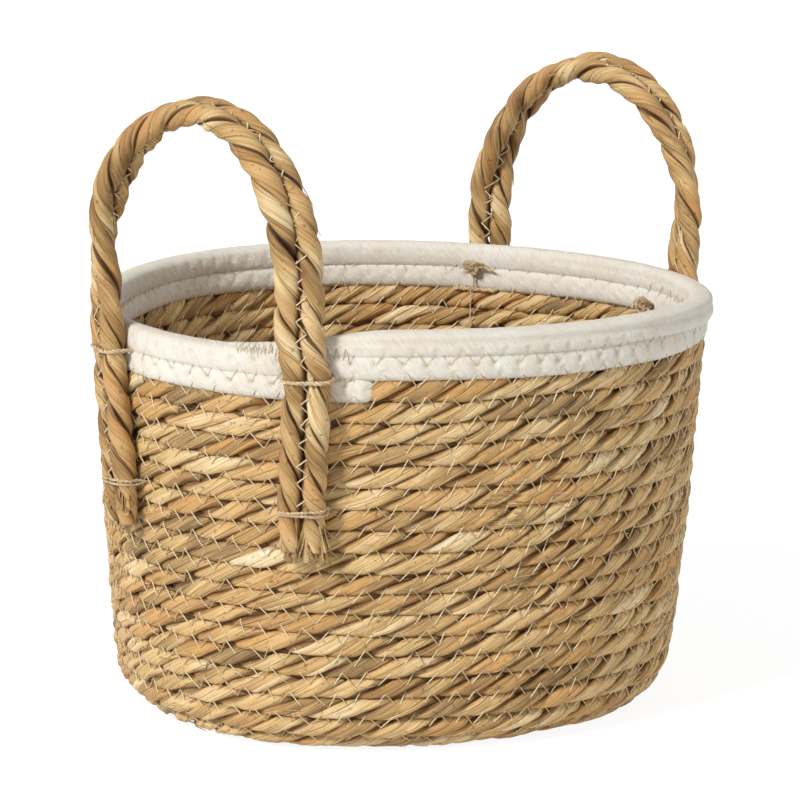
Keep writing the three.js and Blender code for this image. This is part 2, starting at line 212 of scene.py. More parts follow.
PROFILE = middle_profile()
PROFILE_LENGTHS = line_lengths(PROFILE)
PROFILE_LENGTH = PROFILE_LENGTHS[-1]
LAST_TURN = math.floor((PROFILE_LENGTH - HEART_RADIUS) / GRASS_PITCH * STEPS_PER_TURN) / STEPS_PER_TURN
BASE_TURN = round((PROFILE_LENGTH - PROFILE_LENGTHS[1]) / GRASS_PITCH * STEPS_PER_TURN) / STEPS_PER_TURN


def profile_at(length):
    last = np.clip(np.searchsorted(PROFILE_LENGTHS, length), 1, len(PROFILE) - 1)
    low, high = PROFILE_LENGTHS[last - 1], PROFILE_LENGTHS[last]
    share = ((length - low) / (high - low))[..., None]
    return PROFILE[last - 1] * (1 - share) + PROFILE[last] * share


def bowl_point(angle, radius, height):
    """A point of the round bowl, moved as the basket is out of round and leans."""
    plan = radius * (1 + OUT_OF_ROUND * np.cos(3 * (angle - BULGE_ANGLE)))
    lean = RIM_LEAN * height / BASKET_HEIGHT
    return stack(plan * np.cos(angle) + lean * math.cos(LEAN_ANGLE),
                 plan * np.sin(angle) + lean * math.sin(LEAN_ANGLE), height) + SHIFT


def wider_rows(turn):
    """How many cotton rows, which are wider, lie above the middle of the row at a turn."""
    passed = [clip01((turn - (COTTON_TURNS - back)) / BLEND_TURNS) for back in range(4)]
    return passed[0] * 0.5 + passed[1] + passed[2] + passed[3]


def row_middle(turn, worked=1):
    """The middle of the rope's row; worked adds the small waves that hand work leaves in it."""
    wider = (COTTON_PITCH - GRASS_PITCH) * (wider_rows(turn) - wider_rows(0))
    calm = worked * np.clip(turn / 1.5, 0.15, 1) * clip01((LAST_TURN - turn) / 4)
    sway = ROW_SWAY * calm * wave_round(11, turn * ROW_SWAYS, turn / 1.7, ROW_SWAYS)
    push = ROW_PUSH * calm * wave_round(12, turn * ROW_PUSHES, turn / 1.3, ROW_PUSHES)
    length = PROFILE_LENGTH - GRASS_PITCH * turn - wider + sway
    place = profile_at(length)
    along = unit(profile_at(length + 1) - place)
    place = place + np.stack([along[..., 1], -along[..., 0]], -1) * push[..., None]
    return bowl_point(ROPE_END_ANGLE + turn * TAU, place[..., 0], place[..., 1])


def first_turn_at(angle):
    """The first turn at which the rope passes an angle."""
    return (angle - ROPE_END_ANGLE) / TAU % 1


TURN_GRID = np.linspace(-0.5, LAST_TURN + 1.0, 16000)
LENGTH_GRID = line_lengths(row_middle(TURN_GRID))
LENGTH_GRID -= np.interp(0, TURN_GRID, LENGTH_GRID)


def length_at(turn):
    return np.interp(turn, TURN_GRID, LENGTH_GRID)


def turn_at(length):
    return np.interp(length, LENGTH_GRID, TURN_GRID)


def spaced(first_turn, last_turn, step):
    """Lengths between two turns, a step apart, and their turns."""
    length = np.arange(length_at(first_turn), length_at(last_turn), step)
    return length, turn_at(length)


def row_frame(turn):
    """Middle, way along, way up the wall and way out of it, and half the height above and below."""
    middle, above, below = row_middle(turn), row_middle(turn - 1), row_middle(turn + 1)
    along = unit(row_middle(turn + WAY_STEP) - row_middle(turn - WAY_STEP))
    up = square_to(along, above - below)
    half_up, half_down = (np.linalg.norm(row - middle, axis=-1) / 2 for row in (above, below))
    return middle, along, up, np.cross(along, up), half_up, half_down


def joint_frame(turn):
    """The joint between the row at a turn and the row under it: middle, up, out and half height."""
    above, below = row_middle(turn), row_middle(turn + 1)
    ahead, behind = ((row_middle(turn + step) + row_middle(turn + 1 + step)) / 2 for step in (WAY_STEP, -WAY_STEP))
    along = unit(ahead - behind)
    up = square_to(along, above - below)
    return (above + below) / 2, up, np.cross(along, up), np.linalg.norm(above - below, axis=-1) / 2


class Shell:
    """Gathers closed tubes, with a strand coordinate and a look for their material, into one mesh."""

    def __init__(self):
        self.points, self.quads, self.caps, self.strand, self.look, self.count = [], [], [], [], [], 0

    def tubes(self, rings, strand, look):
        """rings: tubes x rings x sides x 3 in millimetres. strand: metres along it, blades counted round it and
        a number of its own. look: tone, painted shade in grooves and warmth, each from 0 to 1."""
        n, m, k, _ = rings.shape
        side = np.arange(k)
        after = (side + 1) % k
        ring = np.arange(m - 1)[:, None] * k
        quads = np.stack([ring + side, ring + after, ring + k + after, ring + k + side], -1).reshape(-1, 4)
        caps = np.stack([side[::-1], side + (m - 1) * k])
        first = (np.arange(n) * m * k + self.count)[:, None, None]
        self.quads.append((quads + first).reshape(-1, 4))
        self.caps.append((caps + first).reshape(-1, k))
        self.points.append(rings.reshape(-1, 3))
        self.strand.append(np.broadcast_to(strand, rings.shape).reshape(-1, 3))
        self.look.append(np.broadcast_to(look, rings.shape).reshape(-1, 3))
        self.count += n * m * k

    def tube(self, rings, strand, look):
        """One tube, with its rings' order turned so that its faces look outwards."""
        strand, look = np.broadcast_to(strand, rings.shape), np.broadcast_to(look, rings.shape)
        middle = rings[0].mean(0)
        spokes = rings[0] - middle
        if np.cross(spokes, np.roll(spokes, -1, 0)).sum(0) @ (rings[1].mean(0) - middle) < 0:
            rings, strand, look = rings[:, ::-1], strand[:, ::-1], look[:, ::-1]
        self.tubes(rings[None], strand[None], look[None])

    def make(self, name, material, slot):
        points = (np.concatenate(self.points) * MM).astype(np.float32)
        faces = self.quads + self.caps
        loops = np.concatenate([face.reshape(-1) for face in faces])
        sizes = np.concatenate([np.full(len(face), face.shape[1]) for face in faces])
        mesh = bpy.data.meshes.new(name)
        mesh.vertices.add(len(points))
        mesh.vertices.foreach_set("co", points.ravel())
        mesh.loops.add(len(loops))
        mesh.loops.foreach_set("vertex_index", loops.astype(np.int32))
        mesh.polygons.add(len(sizes))
        mesh.polygons.foreach_set("loop_start", (np.cumsum(sizes) - sizes).astype(np.int32))
        mesh.polygons.foreach_set("loop_total", sizes.astype(np.int32))
        mesh.update(calc_edges=True)
        for label, values in (("strand", self.strand), ("look", self.look)):
            attribute = mesh.attributes.new(label, "FLOAT_VECTOR", "POINT")
            attribute.data.foreach_set("vector", np.concatenate(values).astype(np.float32).ravel())
        mesh.shade_smooth()
        mesh.materials.append(material)
        obj = add_object(name, mesh)
        return obj


def add_object(name, data):
    obj = bpy.data.objects.new(name, data)
    bpy.context.scene.collection.objects.link(obj)
    return obj


def line_frames(points, hint):
    """Unit way along a line, and two ways across it, the first kept near hint."""
    along = unit(np.gradient(points, axis=-2))
    first = square_to(along, hint)
    return along, first, np.cross(along, first)


def round_tube(points, hint, radius, sides):
    """Rings of a round tube along points; radius is a number or one per point."""
    _, first, second = line_frames(points, hint)
    turn = (np.arange(sides) + 0.5) / sides * TAU
    radius = np.broadcast_to(radius, points.shape[:-1])[..., None, None]
    cos, sin = np.cos(turn)[:, None], np.sin(turn)[:, None]
    return points[..., None, :] + radius * (first[..., None, :] * cos + second[..., None, :] * sin)


def linear(*rgb):
    """A screen colour from 0 to 255, none of it near black, as Blender takes it."""
    return tuple(((v / 255 + 0.055) / 1.055) ** 2.4 for v in rgb) + (1,)


class Value:
    """A node's output, which can be added to and multiplied."""

    def __init__(self, nodes, socket):
        self.nodes, self.socket = nodes, socket

    def __add__(self, other):
        return self.nodes.math("ADD", self, other)

    def __mul__(self, other):
        return self.nodes.math("MULTIPLY", self, other)

    def beside(self, key):
        """Another output of the same node."""
        return Value(self.nodes, self.socket.node.outputs[key])


class Nodes:
    """A short way to write the nodes of a material or a world."""

    def __init__(self, owner):
        owner.use_nodes = True
        self.owner, self.tree = owner, owner.node_tree
        self.tree.nodes.clear()

    def add(self, kind, inputs=(), output=0, **settings):
        """A node with these settings, and inputs in order or by key. Returns one of its outputs."""
        node = self.tree.nodes.new("ShaderNode" + kind)
        for key, value in settings.items():
            setattr(node, key, value)
        for key, value in inputs.items() if isinstance(inputs, dict) else enumerate(inputs):
            if isinstance(value, Value):
                self.tree.links.new(value.socket, node.inputs[key])
            else:
                node.inputs[key].default_value = value
        return Value(self, node.outputs[output]) if len(node.outputs) else None

    def math(self, operation, *values):
        return self.add("Math", values, operation=operation)

    def noise(self, place, detail, roughness=0.5, scale=1.0):
        """Noise at a place, which is one vector or three values."""
        vector = self.add("CombineXYZ", place) if isinstance(place, tuple) else place
        inputs = {"Vector": vector, "Scale": scale, "Detail": detail, "Roughness": roughness}
        return self.add("TexNoise", inputs, "Fac")

    def ramp(self, value, stops):
        result = self.add("ValToRGB", [value])
        elements = result.socket.node.color_ramp.elements
        while len(elements) < len(stops):
            elements.new(1)
        for element, (place, colour) in zip(elements, stops):
            element.position = place
            element.color = colour
        return result

    def spread(self, value, low, high, to_low=0.0, to_high=1.0):
        return self.add("MapRange", [value, low, high, to_low, to_high])

    def mix(self, factor, first, second, blend="MIX"):
        return self.add("Mix", {0: factor, 6: first, 7: second}, 2, data_type="RGBA", blend_type=blend)

    def shaded(self, colour, shade):
        return self.mix(1.0, colour, self.add("CombineXYZ", [shade] * 3), "MULTIPLY")

    def values(self, name):
        """The three values of a mesh attribute."""
        split = self.add("SeparateXYZ", [self.add("Attribute", output="Vector", attribute_name=name)])
        return [split.beside(axis) for axis in "XYZ"]

    def place(self):
        return self.add("TexCoord", output="Object")

    def seen(self):
        """1 for rays from the eye, straight, mirrored or through glass, and 0 for light that falls on things."""
        path = self.add("LightPath")
        bounced = self.math("MAXIMUM", path.beside("Is Glossy Ray"), path.beside("Is Transmission Ray"))
        return self.math("MAXIMUM", path.beside("Is Camera Ray"), bounced)

    def finish(self, colour, roughness, height, distance, strength, sheen=0.0, specular=0.3, soft=0.0):
        bump = self.add("Bump", {"Height": height, "Distance": distance, "Strength": strength})
        shader = self.add("BsdfPrincipled", {
            "Base Color": colour, "Roughness": roughness, "Normal": bump, "Specular IOR Level": specular,
            "Sheen Weight": sheen, "Subsurface Weight": soft, "Subsurface Radius": (1.0, 0.85, 0.65),
            "Subsurface Scale": 0.002,
        })
        self.add("OutputMaterial", {"Surface": shader})
        return self.owner


def grass_material(name, stops, blade_length, warm, deep, painted_shade, lines):
    """Seagrass: each length of a strand and each blade has its own tone, with streaks along it and painted shade in
    the creases between blades. stops are its colours from dim to bright, and warm tints some blades. Grooves get
    painted shade in the colour deep, by the share after it, and lines is how strong the streaks are."""
    n = Nodes(bpy.data.materials.new(name))
    s, c, number = n.values("strand")
    own, groove_shade, warmth = n.values("look")
    blade = n.math("FLOOR", c)
    edge = n.math("PINGPONG", c, 0.5)
    long = n.noise((s * (1 / blade_length), blade * 3.71, number * 5.13), 1.0)
    wide = n.noise(n.place(), 2.0, scale=14.0)
    streak = n.noise((s * 50.0, c * 7.0, number), 3.0, 0.6)
    fine = n.noise((s * 150.0, c * 26.0, number), 2.0, 0.6)
    tint = n.noise((s * 14.0, blade * 7.7, number), 0.0)
    speck = n.noise(n.place(), 2.0, scale=420.0)
    tone = own * 0.62 + n.spread(long, 0.28, 0.72, -0.16, 0.42) + n.spread(wide, 0.3, 0.7, -0.12, 0.12)
    colour = n.ramp(tone + n.spread(streak, 0.3, 0.7, -0.20, 0.20), stops)
    warming = n.spread(warmth, 0.35, 0.9) * n.spread(tint, 0.3, 0.65, 0.25, 0.85)
    colour = n.mix(warming, colour, warm)
    shade = n.spread(streak, 0.3, 0.7, 1 - 0.16 * lines, 1 + 0.10 * lines)
    shade = shade + n.spread(fine, 0.3, 0.7, -0.13 * lines, 0.11 * lines)
    # Painted shade: a dark line in the crease at each blade's edge, left out where the streak noise is high
    blade_edge_shade = n.math("MAXIMUM", n.spread(edge, 0.0, 0.055, 0.55, 1.0), n.spread(streak, 0.42, 0.52))
    colour = n.shaded(colour, shade * blade_edge_shade)
    # Painted shade in the grooves, in the colour deep
    colour = n.mix(groove_shade * painted_shade, colour, deep, "MULTIPLY")
    colour = n.mix(n.spread(speck, 0.64, 0.72, 0.0, 0.55), colour, linear(96, 64, 34))
    height = streak * 0.6 + fine * 0.4 + n.spread(edge, 0.0, 0.10, 0.0, 0.9)
    return n.finish(colour, n.spread(streak, 0.3, 0.7, 0.74, 0.54), height, 0.0005, 0.85 * lines)


def cotton_material():
    """Soft white cotton rope, with a little dust and the slanting yarns of its braid, whose pattern is painted as
    faint shade of the braid's relief, and with painted shade near the rows' joints and in the stitch pits.
    """
    n = Nodes(bpy.data.materials.new("white_cotton_rope"))
    s, c, _ = n.values("strand")
    _, groove_shade, _ = n.values("look")
    yarn = n.noise((s * 850.0 + c * 1.9, c * 0.5, s * 90.0), 1.0)
    fibre = n.noise(n.place(), 3.0, 0.7, scale=2300.0)
    dust = n.noise(n.place(), 3.0, scale=60.0)
    colour = n.ramp(n.spread(dust, 0.3, 0.75), [(0.0, linear(253, 247, 235)), (1.0, linear(245, 236, 219))])
    # The yarn pattern darkens the colour a little as painted shade of the braid's relief, and the fibres vary its
    # tone
    colour = n.shaded(colour, n.spread(yarn, 0.3, 0.7, 0.93, 1.02) + n.spread(fibre, 0.3, 0.7, -0.05, 0.03))
    # Painted shade near the rows' joints and in the stitch pits
    colour = n.mix(groove_shade * 0.4, colour, linear(238, 224, 200), "MULTIPLY")
    return n.finish(colour, 0.95, yarn + fibre * 1.1, 0.0007, 0.9, sheen=0.3, specular=0.05, soft=0.15)


def thread_material(name, dim, bright, lay):
    """Two-ply thread or twine: fine slanting twist, paler and darker lengths."""
    n = Nodes(bpy.data.materials.new(name))
    s, c, number = n.values("strand")
    own, _, _ = n.values("look")
    twist = n.math("SINE", (s * (1 / lay) + c) * TAU)
    tone = own * 0.6 + n.spread(n.noise((s * 25.0, number, 0.0), 1.0), 0.25, 0.75, 0.0, 0.4)
    colour = n.shaded(n.ramp(tone, [(0.0, dim), (1.0, bright)]), n.spread(twist, -1.0, 1.0, 0.82, 1.06))
    return n.finish(colour, 0.85, twist, 0.0002, 0.7, sheen=0.1, specular=0.2)


# In each seagrass material, the second colour after the stops and the share after it are the painted shade of its
# grooves
GRASS = grass_material("seagrass_rows", [
    (0.0, linear(142, 115, 77)),
    (0.25, linear(184, 149, 99)),
    (0.5, linear(215, 179, 121)),
    (0.75, linear(229, 200, 149)),
    (1.0, linear(242, 223, 184)),
], 0.032, linear(206, 156, 92), linear(124, 88, 52), 0.73, 1.0)
HANDLE_GRASS = grass_material("seagrass_handles", [
    (0.0, linear(134, 100, 60)),
    (0.3, linear(172, 136, 86)),
    (0.6, linear(202, 168, 114)),
    (1.0, linear(230, 208, 162)),
], 0.060, linear(198, 151, 95), linear(92, 60, 32), 0.9, 0.65)
COTTON = cotton_material()
THREAD = thread_material("sewing_thread", linear(204, 174, 126), linear(246, 232, 196), 0.0022)
TWINE = thread_material("twine", linear(150, 112, 68), linear(238, 216, 176), 0.005)

# Millimetres from one stitch to the next, from a joint to its needle holes, and by which a stitch leans
STITCH = 5.1
STITCH_REACH = 3.4
STITCH_LEAN = 0.4


def apex_turn(index):
    """The turn at which stitch number index meets the next one, on the joint under that turn."""
    lean = np.where(index % 2 == 0, -STITCH_LEAN, STITCH_LEAN)
    return turn_at(index * STITCH + lean + 0.22 * STITCH * pick(31, index))


def apex_reach(index):
    """How far over or under the joint the needle goes in there."""
    return np.where(index % 2 == 0, 1.0, -1.0) * (STITCH_REACH + 0.5 * pick(32, index))


def pits(turn, height, half_up, half_down, width=1.3, upper=1.0):
    """How far a point of a row's face is drawn in by the stitches nearest to it, from 0 to 1."""
    drawn = np.zeros(np.broadcast_shapes(turn.shape, height.shape))
    for joint, level in ((0, -half_down), (-1, half_up)):
        length = length_at(turn + joint)
        for beside in (-1, 0, 1):
            index = np.round(length / STITCH).astype(int) + beside
            reach = apex_reach(index)
            near = (length - length_at(apex_turn(index))) ** 2 + (height - level - reach) ** 2
            drawn = np.maximum(drawn, np.exp(-near / width ** 2) * np.where(reach > 0, upper, 1))
    return drawn


# The seagrass rope: strands, their blades and twist. Its section is in shares of half the row.
PLIES = 2
BLADES = 4
PLY_SIDES = 22
RING_STEP = 1.35
LAY = 39.5
PLY_CENTRE = 0.43
PLY_DEEP = 0.575
PLY_WIDE = 0.84
ROW_SWELL = 1.05
SHEAR = 1.9
DRAWN_IN = 0.17
# How much of the grooves' painted shade the wall's inside face keeps, and how much darker in tone the inside face is
# painted as shade
INSIDE_GROOVE_SHADE = 0.55
INSIDE_PAINTED_SHADE = 0.10
GRASS_START = COTTON_TURNS - 0.004
FILLING_STEP = 3.0
FILLING_SIDES = 10
FILLING_HIGH = 2.2
FILLING_DEEP = 1.7
# Nothing of the rows is lower than this, so that they don't pass the floor
LOWEST = 0.02


def square_out(x, y, power):
    """Fills a round section out towards its box, so that rows close up on each other."""
    angle = np.arctan2(y, x)
    k = (np.abs(np.cos(angle)) ** power + np.abs(np.sin(angle)) ** power) ** (-1 / power)
    return x * k, y * k


def ply_angles(sides, open_half):
    """Angles round a strand: close together on the part that shows, two points on the hidden part."""
    shown = np.linspace(-open_half, open_half, sides - 2)
    hidden = open_half + (math.pi - open_half) * 0.6
    return np.concatenate([shown, [hidden, -hidden]])


SPIN_LENGTHS = np.arange(length_at(GRASS_START) - 5, length_at(LAST_TURN) + 5, 1.0)
SPIN = np.cumsum(TAU / LAY * (1 + 0.20 * wave(41, SPIN_LENGTHS / 150) + 0.16 * wave(42, SPIN_LENGTHS / 40)))


def ply_section(ply, length, alpha):
    """A strand's section at some lengths, from -1 to 1 across and up the row, its blade count and its turn."""
    length = length[..., None]
    phase = np.interp(length, SPIN_LENGTHS, SPIN) + TAU * ply / PLIES + 0.42 * wave(50 + ply, length / 26)
    thick = 1 + 0.14 * wave(60 + ply, length / 19) + 0.06 * wave(70 + ply, length / 6)
    count = (alpha / TAU + 0.5) * BLADES + length / 190 + 0.9 * wave(80 + ply, length / 60)
    step = (count - np.floor(count) - 0.5) * 0.06
    lump = 0.03 * wave(90 + ply, length / 3.1 + 7 * np.floor(count))
    x = PLY_CENTRE + PLY_DEEP * thick * (1 + step + lump) * np.cos(alpha)
    y = PLY_WIDE * thick * (1 + step + lump) * np.sin(alpha)
    return (*square_out(*rotated(x, y, phase), 2.5), count, phase)


def lozenge_look(ply, phase, out_side, count, reach, joint):
    """Tone, painted shade in the creases and at the rows' joints, and warmth of a strand's surface; the tone changes
    where the strand is hidden, and the inside face is painted darker as shade.
    """
    half_turn = np.where(out_side, np.round(phase / TAU) * 2, np.round(phase / TAU - 0.5) * 2 + 1).astype(int)
    index = half_turn * 5 + ply * 2 + 1
    tone = 0.5 + 0.5 * pick(400, index) + 0.22 * pick(401, index * 7 + np.floor(count).astype(int) * 13)
    warm = 0.5 + 0.5 * pick(402, index)
    # Painted shade: strong in the crease between the two strands, and a little towards the joints with the next rows
    groove_shade = np.maximum(clip01((0.95 - reach) / 0.24), np.clip((joint - 0.88) / 0.16, 0, 0.35))
    return stack(tone - np.where(out_side, 0, INSIDE_PAINTED_SHADE), groove_shade * np.where(out_side, 1, INSIDE_GROOVE_SHADE), warm)


def joint_filling(first_turn, last_turn):
    """The blades pressed into the joint under each row, mostly hidden, low in tone and painted dark with full shade.
    """
    length, turn = spaced(first_turn, last_turn, FILLING_STEP)
    middle, up, out, _ = joint_frame(turn)
    alpha = np.arange(FILLING_SIDES) / FILLING_SIDES * TAU
    high = FILLING_HIGH * (1 + 0.2 * wave(97, length / 7))
    rings = middle[:, None] + up[:, None] * (np.sin(alpha) * high[:, None])[..., None]
    rings += out[:, None] * (FILLING_DEEP * np.cos(alpha))[:, None]
    rings[..., 2] = np.maximum(rings[..., 2], LOWEST)
    # Low tone, and the full painted shade of a groove
    return turn, rings, stack((length * MM)[:, None], alpha / TAU * 5, 9.0), np.array([0.25, 1.0, 0.3]) + 0 * rings


def seagrass_plies(first_turn, last_turn):
    length, turn = spaced(first_turn, last_turn, RING_STEP)
    middle, along, up, out, half_up, half_down = row_frame(turn)
    taper = clip01((length - length[0]) / 12) ** 0.7 * clip01((length[-1] - length) / 10) ** 0.6
    taper = (0.25 + 0.75 * taper)[:, None]
    for ply in range(PLIES):
        px, py, count, phase = ply_section(ply, length, ply_angles(PLY_SIDES, math.radians(118)))
        look = lozenge_look(ply, phase, px > 0, count, np.hypot(px, py), np.abs(py))
        height = py * taper * np.where(py > 0, half_up[:, None], half_down[:, None]) * ROW_SWELL
        drawn = pits(turn[:, None], height, half_up[:, None], half_down[:, None])
        face = clip01(np.abs(px) * 1.6 - 0.5)
        depth = px * taper * GRASS_DEPTH / 2 * (1 - DRAWN_IN * drawn * face)
        rings = middle[:, None] + up[:, None] * height[..., None] + out[:, None] * depth[..., None]
        rings += along[:, None] * (SHEAR * px * py * taper)[..., None]
        rings[..., 2] = np.maximum(rings[..., 2], LOWEST)
        yield turn, rings, stack((length * MM)[:, None], count + 40 * ply, float(ply)), look


def make_rows(strands, borders, names, material, slot):
    """Cuts strands at the border turns into named pieces that each start where the last one ended."""
    cuts = [[0, *np.searchsorted(turn, borders), len(turn) - 1] for turn, *_ in strands]
    rows = []
    for index, name in enumerate(names):
        shell = Shell()
        for (_, *parts), cut in zip(strands, cuts):
            shell.tube(*(part[cut[index]:cut[index + 1] + 1] for part in parts))
        rows.append(shell.make(name, material, slot))
        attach(rows[-1], "basket")
    return rows


WALL_BORDERS = [3.9, 5.8, 7.7, 9.6, 11.5, 13.4, 15.3, 17.2, BASE_TURN]
BASE_BORDERS = [BASE_TURN + 2, BASE_TURN + 5]
wall_names = [f"wall_rows_{index + 1}" for index in range(len(WALL_BORDERS))]
base_names = [f"base_rows_{index + 1}" for index in range(len(BASE_BORDERS) + 1)]
strands = [*seagrass_plies(GRASS_START, LAST_TURN), joint_filling(COTTON_TURNS - 1, LAST_TURN - 1.05)]
grass_rows = make_rows(strands, WALL_BORDERS + BASE_BORDERS, wall_names + base_names, GRASS, "seagrass")
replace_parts(grass_rows[0], "wall_coil")
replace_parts(grass_rows[len(wall_names)], "base_coil")

# The cotton rope of the rim
COTTON_START = 0.02
COTTON_END = COTTON_TURNS + 0.010
COTTON_STEP = 0.42
COTTON_SIDES = 60
COTTON_YARNS = 12
COTTON_POWER = 2.5
COTTON_SOFT_DEPTH = 12.2
COTTON_DRAWN_IN = 0.20
COTTON_DRAWN_IN_INSIDE = 0.10
COTTON_SWELL = 1.18
COTTON_PRESSED = 0.12
# How far lumps and yarns stand out of it, and how many turns its first end takes to reach its full height
COTTON_LUMPS = 0.05
COTTON_YARN = 0.15
COTTON_RAMP = 0.095
# How far to each side of a leg the cotton rope is pressed flat
LEG_REACH = math.radians(6.5)
# Where the rim's top row hangs out a little, and how far, in millimetres
SAG_TURN = 0.35
SAG_OUT = 2.1
SAG_DOWN = 1.2


def cotton_depth(turn):
    """The soft rope is as deep as the part's under the handles' legs, and deeper between them."""
    angle = ROPE_END_ANGLE + turn * TAU
    pressed = 0
    for _, leg in LEGS:
        off = (angle - math.radians(leg["rim"]) + math.pi) % TAU - math.pi
        pressed = np.maximum(pressed, np.exp(-(off / LEG_REACH) ** 4))
    return COTTON_SOFT_DEPTH + (COTTON_DEPTH - COTTON_SOFT_DEPTH) * pressed


def cotton_rope():
    length, turn = spaced(COTTON_START, COTTON_END, COTTON_STEP)
    column = length[:, None]
    middle, _, up, out, half_up, half_down = row_frame(turn)
    alpha = np.arange(COTTON_SIDES) / COTTON_SIDES * TAU - math.pi / 2
    x, y = square_out(np.cos(alpha), np.sin(alpha), COTTON_POWER)
    begun = clip01((turn - COTTON_START) / COTTON_RAMP)
    share = 0.16 + 0.84 * ease(begun)
    near_ends = clip01((length - length[0]) / 7), clip01((length[-1] - length) / 8)
    tip = np.prod([np.sqrt(np.maximum(1 - (1 - near) ** 2, 0.02)) for near in near_ends], 0)
    low, high = -half_down * (1.45 - 0.45 * begun), half_up * (2 * share - 1)
    half = (high - low) / 2
    over = clip01((turn - 0.95) / 0.1)
    under = clip01((COTTON_TURNS - 1 - turn) / 0.04)
    grown = COTTON_SWELL + COTTON_PRESSED * np.where(y > 0, over[:, None], under[:, None])
    height = ((low + high) / 2)[:, None] + y * grown * (half * tip)[:, None]
    depth = x * (cotton_depth(turn) / 2 * np.sqrt(share) * tip)[:, None]
    around = (alpha + math.pi / 2) / TAU * COTTON_YARNS
    lumps = COTTON_LUMPS * wave_round(92, around, column / 3.0, COTTON_YARNS)
    lumps = lumps + COTTON_LUMPS * wave_round(93, around * 2, column / 1.4, 2 * COTTON_YARNS)
    yarn = np.sin(TAU * (column / 2.0 + around * 1.5 + 0.5 * wave(94, column / 9)))
    yarn = yarn * (0.75 + 0.5 * wave_round(95, around * 2, column / 1.1, 2 * COTTON_YARNS))
    raise_by = (lumps + COTTON_YARN * yarn) * tip[:, None]
    drawn = pits(turn[:, None], height, half_up[:, None], half_down[:, None], 1.9, 0.55)
    face = clip01(np.abs(x) * 1.6 - 0.5)
    across = unit(stack(x / (COTTON_DEPTH / 2), y / half[:, None]))
    drawn_in = np.where(x > 0, COTTON_DRAWN_IN, COTTON_DRAWN_IN_INSIDE)
    depth = depth * (1 - drawn_in * drawn * face) + across[..., 0] * raise_by
    height = height - y * half[:, None] * 0.16 * drawn + across[..., 1] * raise_by
    sag = np.exp(-((turn - SAG_TURN) / 0.055) ** 2)
    middle = middle + out * (SAG_OUT * sag)[:, None] - up * (SAG_DOWN * sag)[:, None]
    rings = middle[:, None] + up[:, None] * height[..., None] + out[:, None] * depth[..., None]
    # Look: painted shade towards the row's upper and lower edges and in the stitch pits
    return turn, rings, stack(column * MM, around, 0.0), stack(0.5, clip01(np.abs(y) - 0.75) * 2 + 0.5 * drawn, 0.5)


rim_names = ["rim_rope_1", "rim_rope_2", "rim_rope_3"]
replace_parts(make_rows([cotton_rope()], [0.71, 1.4], rim_names, COTTON, "white_cotton")[0], "rim_coil")

THREAD_RADIUS = 0.29
COTTON_THREAD_RADIUS = 0.20
HULL_ANGLES = np.linspace(0, TAU, 31)
# Where the cotton rope's ends are tacked down: first and last turn, period and reach in millimetres
TACKS = [(0.030, 0.058, 3.2, 3.3), (0.076, 0.090, 3.8, 3.4), (1.070, 1.092, 3.8, 3.4)]


def row_face(turn, level, side):
    """How far out, in millimetres, the surface of the row at a turn is at a level from -1 to 1."""
    level = np.clip(level, -0.97, 0.97)
    best = np.zeros(level.shape)
    for ply in range(PLIES):
        px, py, _, _ = ply_section(ply, length_at(turn) - SHEAR * 0.9 * side * level, HULL_ANGLES)
        off = py - level[..., None]
        before, after = off[..., :-1], off[..., 1:]
        passed = before * after <= 0
        share = np.where(passed, before / np.where(passed, before - after + 1e-9, 1), 0)
        cut = side * (px[..., :-1] + (px[..., 1:] - px[..., :-1]) * share)
        best = np.maximum(best, np.where(passed, cut, 0).max(-1))
    cotton = (1 - np.abs(level) ** COTTON_POWER) ** (1 / COTTON_POWER) * cotton_depth(turn) / 2
    return np.where(turn < COTTON_TURNS, cotton, best * GRASS_DEPTH / 2)


def taut(depth, share):
    """The least line over a thread's places that bends only outwards."""
    line = depth.copy()
    for i in range(len(share)):
        for j in range(i + 2, len(share)):
            at = (share[i + 1:j] - share[i]) / (share[j] - share[i])
            between = depth[:, i:i + 1] * (1 - at) + depth[:, j:j + 1] * at
            line[:, i + 1:j] = np.maximum(line[:, i + 1:j], between)
    return line


def stitches(turns, reaches, side, seed, bright):
    """Thread from each place to the next on one face of the wall: side 1 is the outside, -1 the inside."""
    start, low = turns[:-1, None], reaches[:-1, None]
    inner = np.linspace(0, 1, 8)
    turn = start + np.diff(turns)[:, None] * inner
    height = low + np.diff(reaches)[:, None] * inner
    middle, up, out, half = joint_frame(turn)
    above = row_face(turn, (height - half) / (half * ROW_SWELL), side)
    below = row_face(turn + 1, (height + half) / (half * ROW_SWELL), side)
    drawn = np.exp(-(np.minimum(inner, 1 - inner) * 8.0 / 1.3) ** 2)
    pulled = np.where(turn + (height < 0) < COTTON_TURNS, COTTON_DRAWN_IN, DRAWN_IN)
    rise = taut(np.maximum(above, below) * (1 - pulled * drawn), inner) + THREAD_RADIUS * 0.5
    number = np.arange(len(start))
    slack = 0.30 * np.minimum(wave(seed, number * 1.7)[:, None] - 0.1, 0.3)
    points = middle + up * height[..., None] + side * out * (rise + slack)[..., None]
    ends = [points[:, i] - side * out[:, i] * 1.5 + (points[:, i] - points[:, j]) * 0.04
            for i, j in ((0, 1), (-1, -2))]
    points = np.concatenate([ends[0][:, None], points, ends[1][:, None]], 1)
    radius = np.where(start < COTTON_TURNS - 1, COTTON_THREAD_RADIUS, THREAD_RADIUS)
    rings = round_tube(points, np.pad(out, ((0, 0), (1, 1), (0, 0)), "edge"), radius, 5)
    rings[..., 2] = np.maximum(rings[..., 2], 0.0)
    length = line_lengths(points) * MM + number[:, None] * 0.011
    strand = stack(length[..., None], np.arange(5) / 5.0, (number % 97)[:, None, None] * 1.3)
    return rings, strand, stack((bright + 0 * number)[:, None, None], 0.0, 0.0)


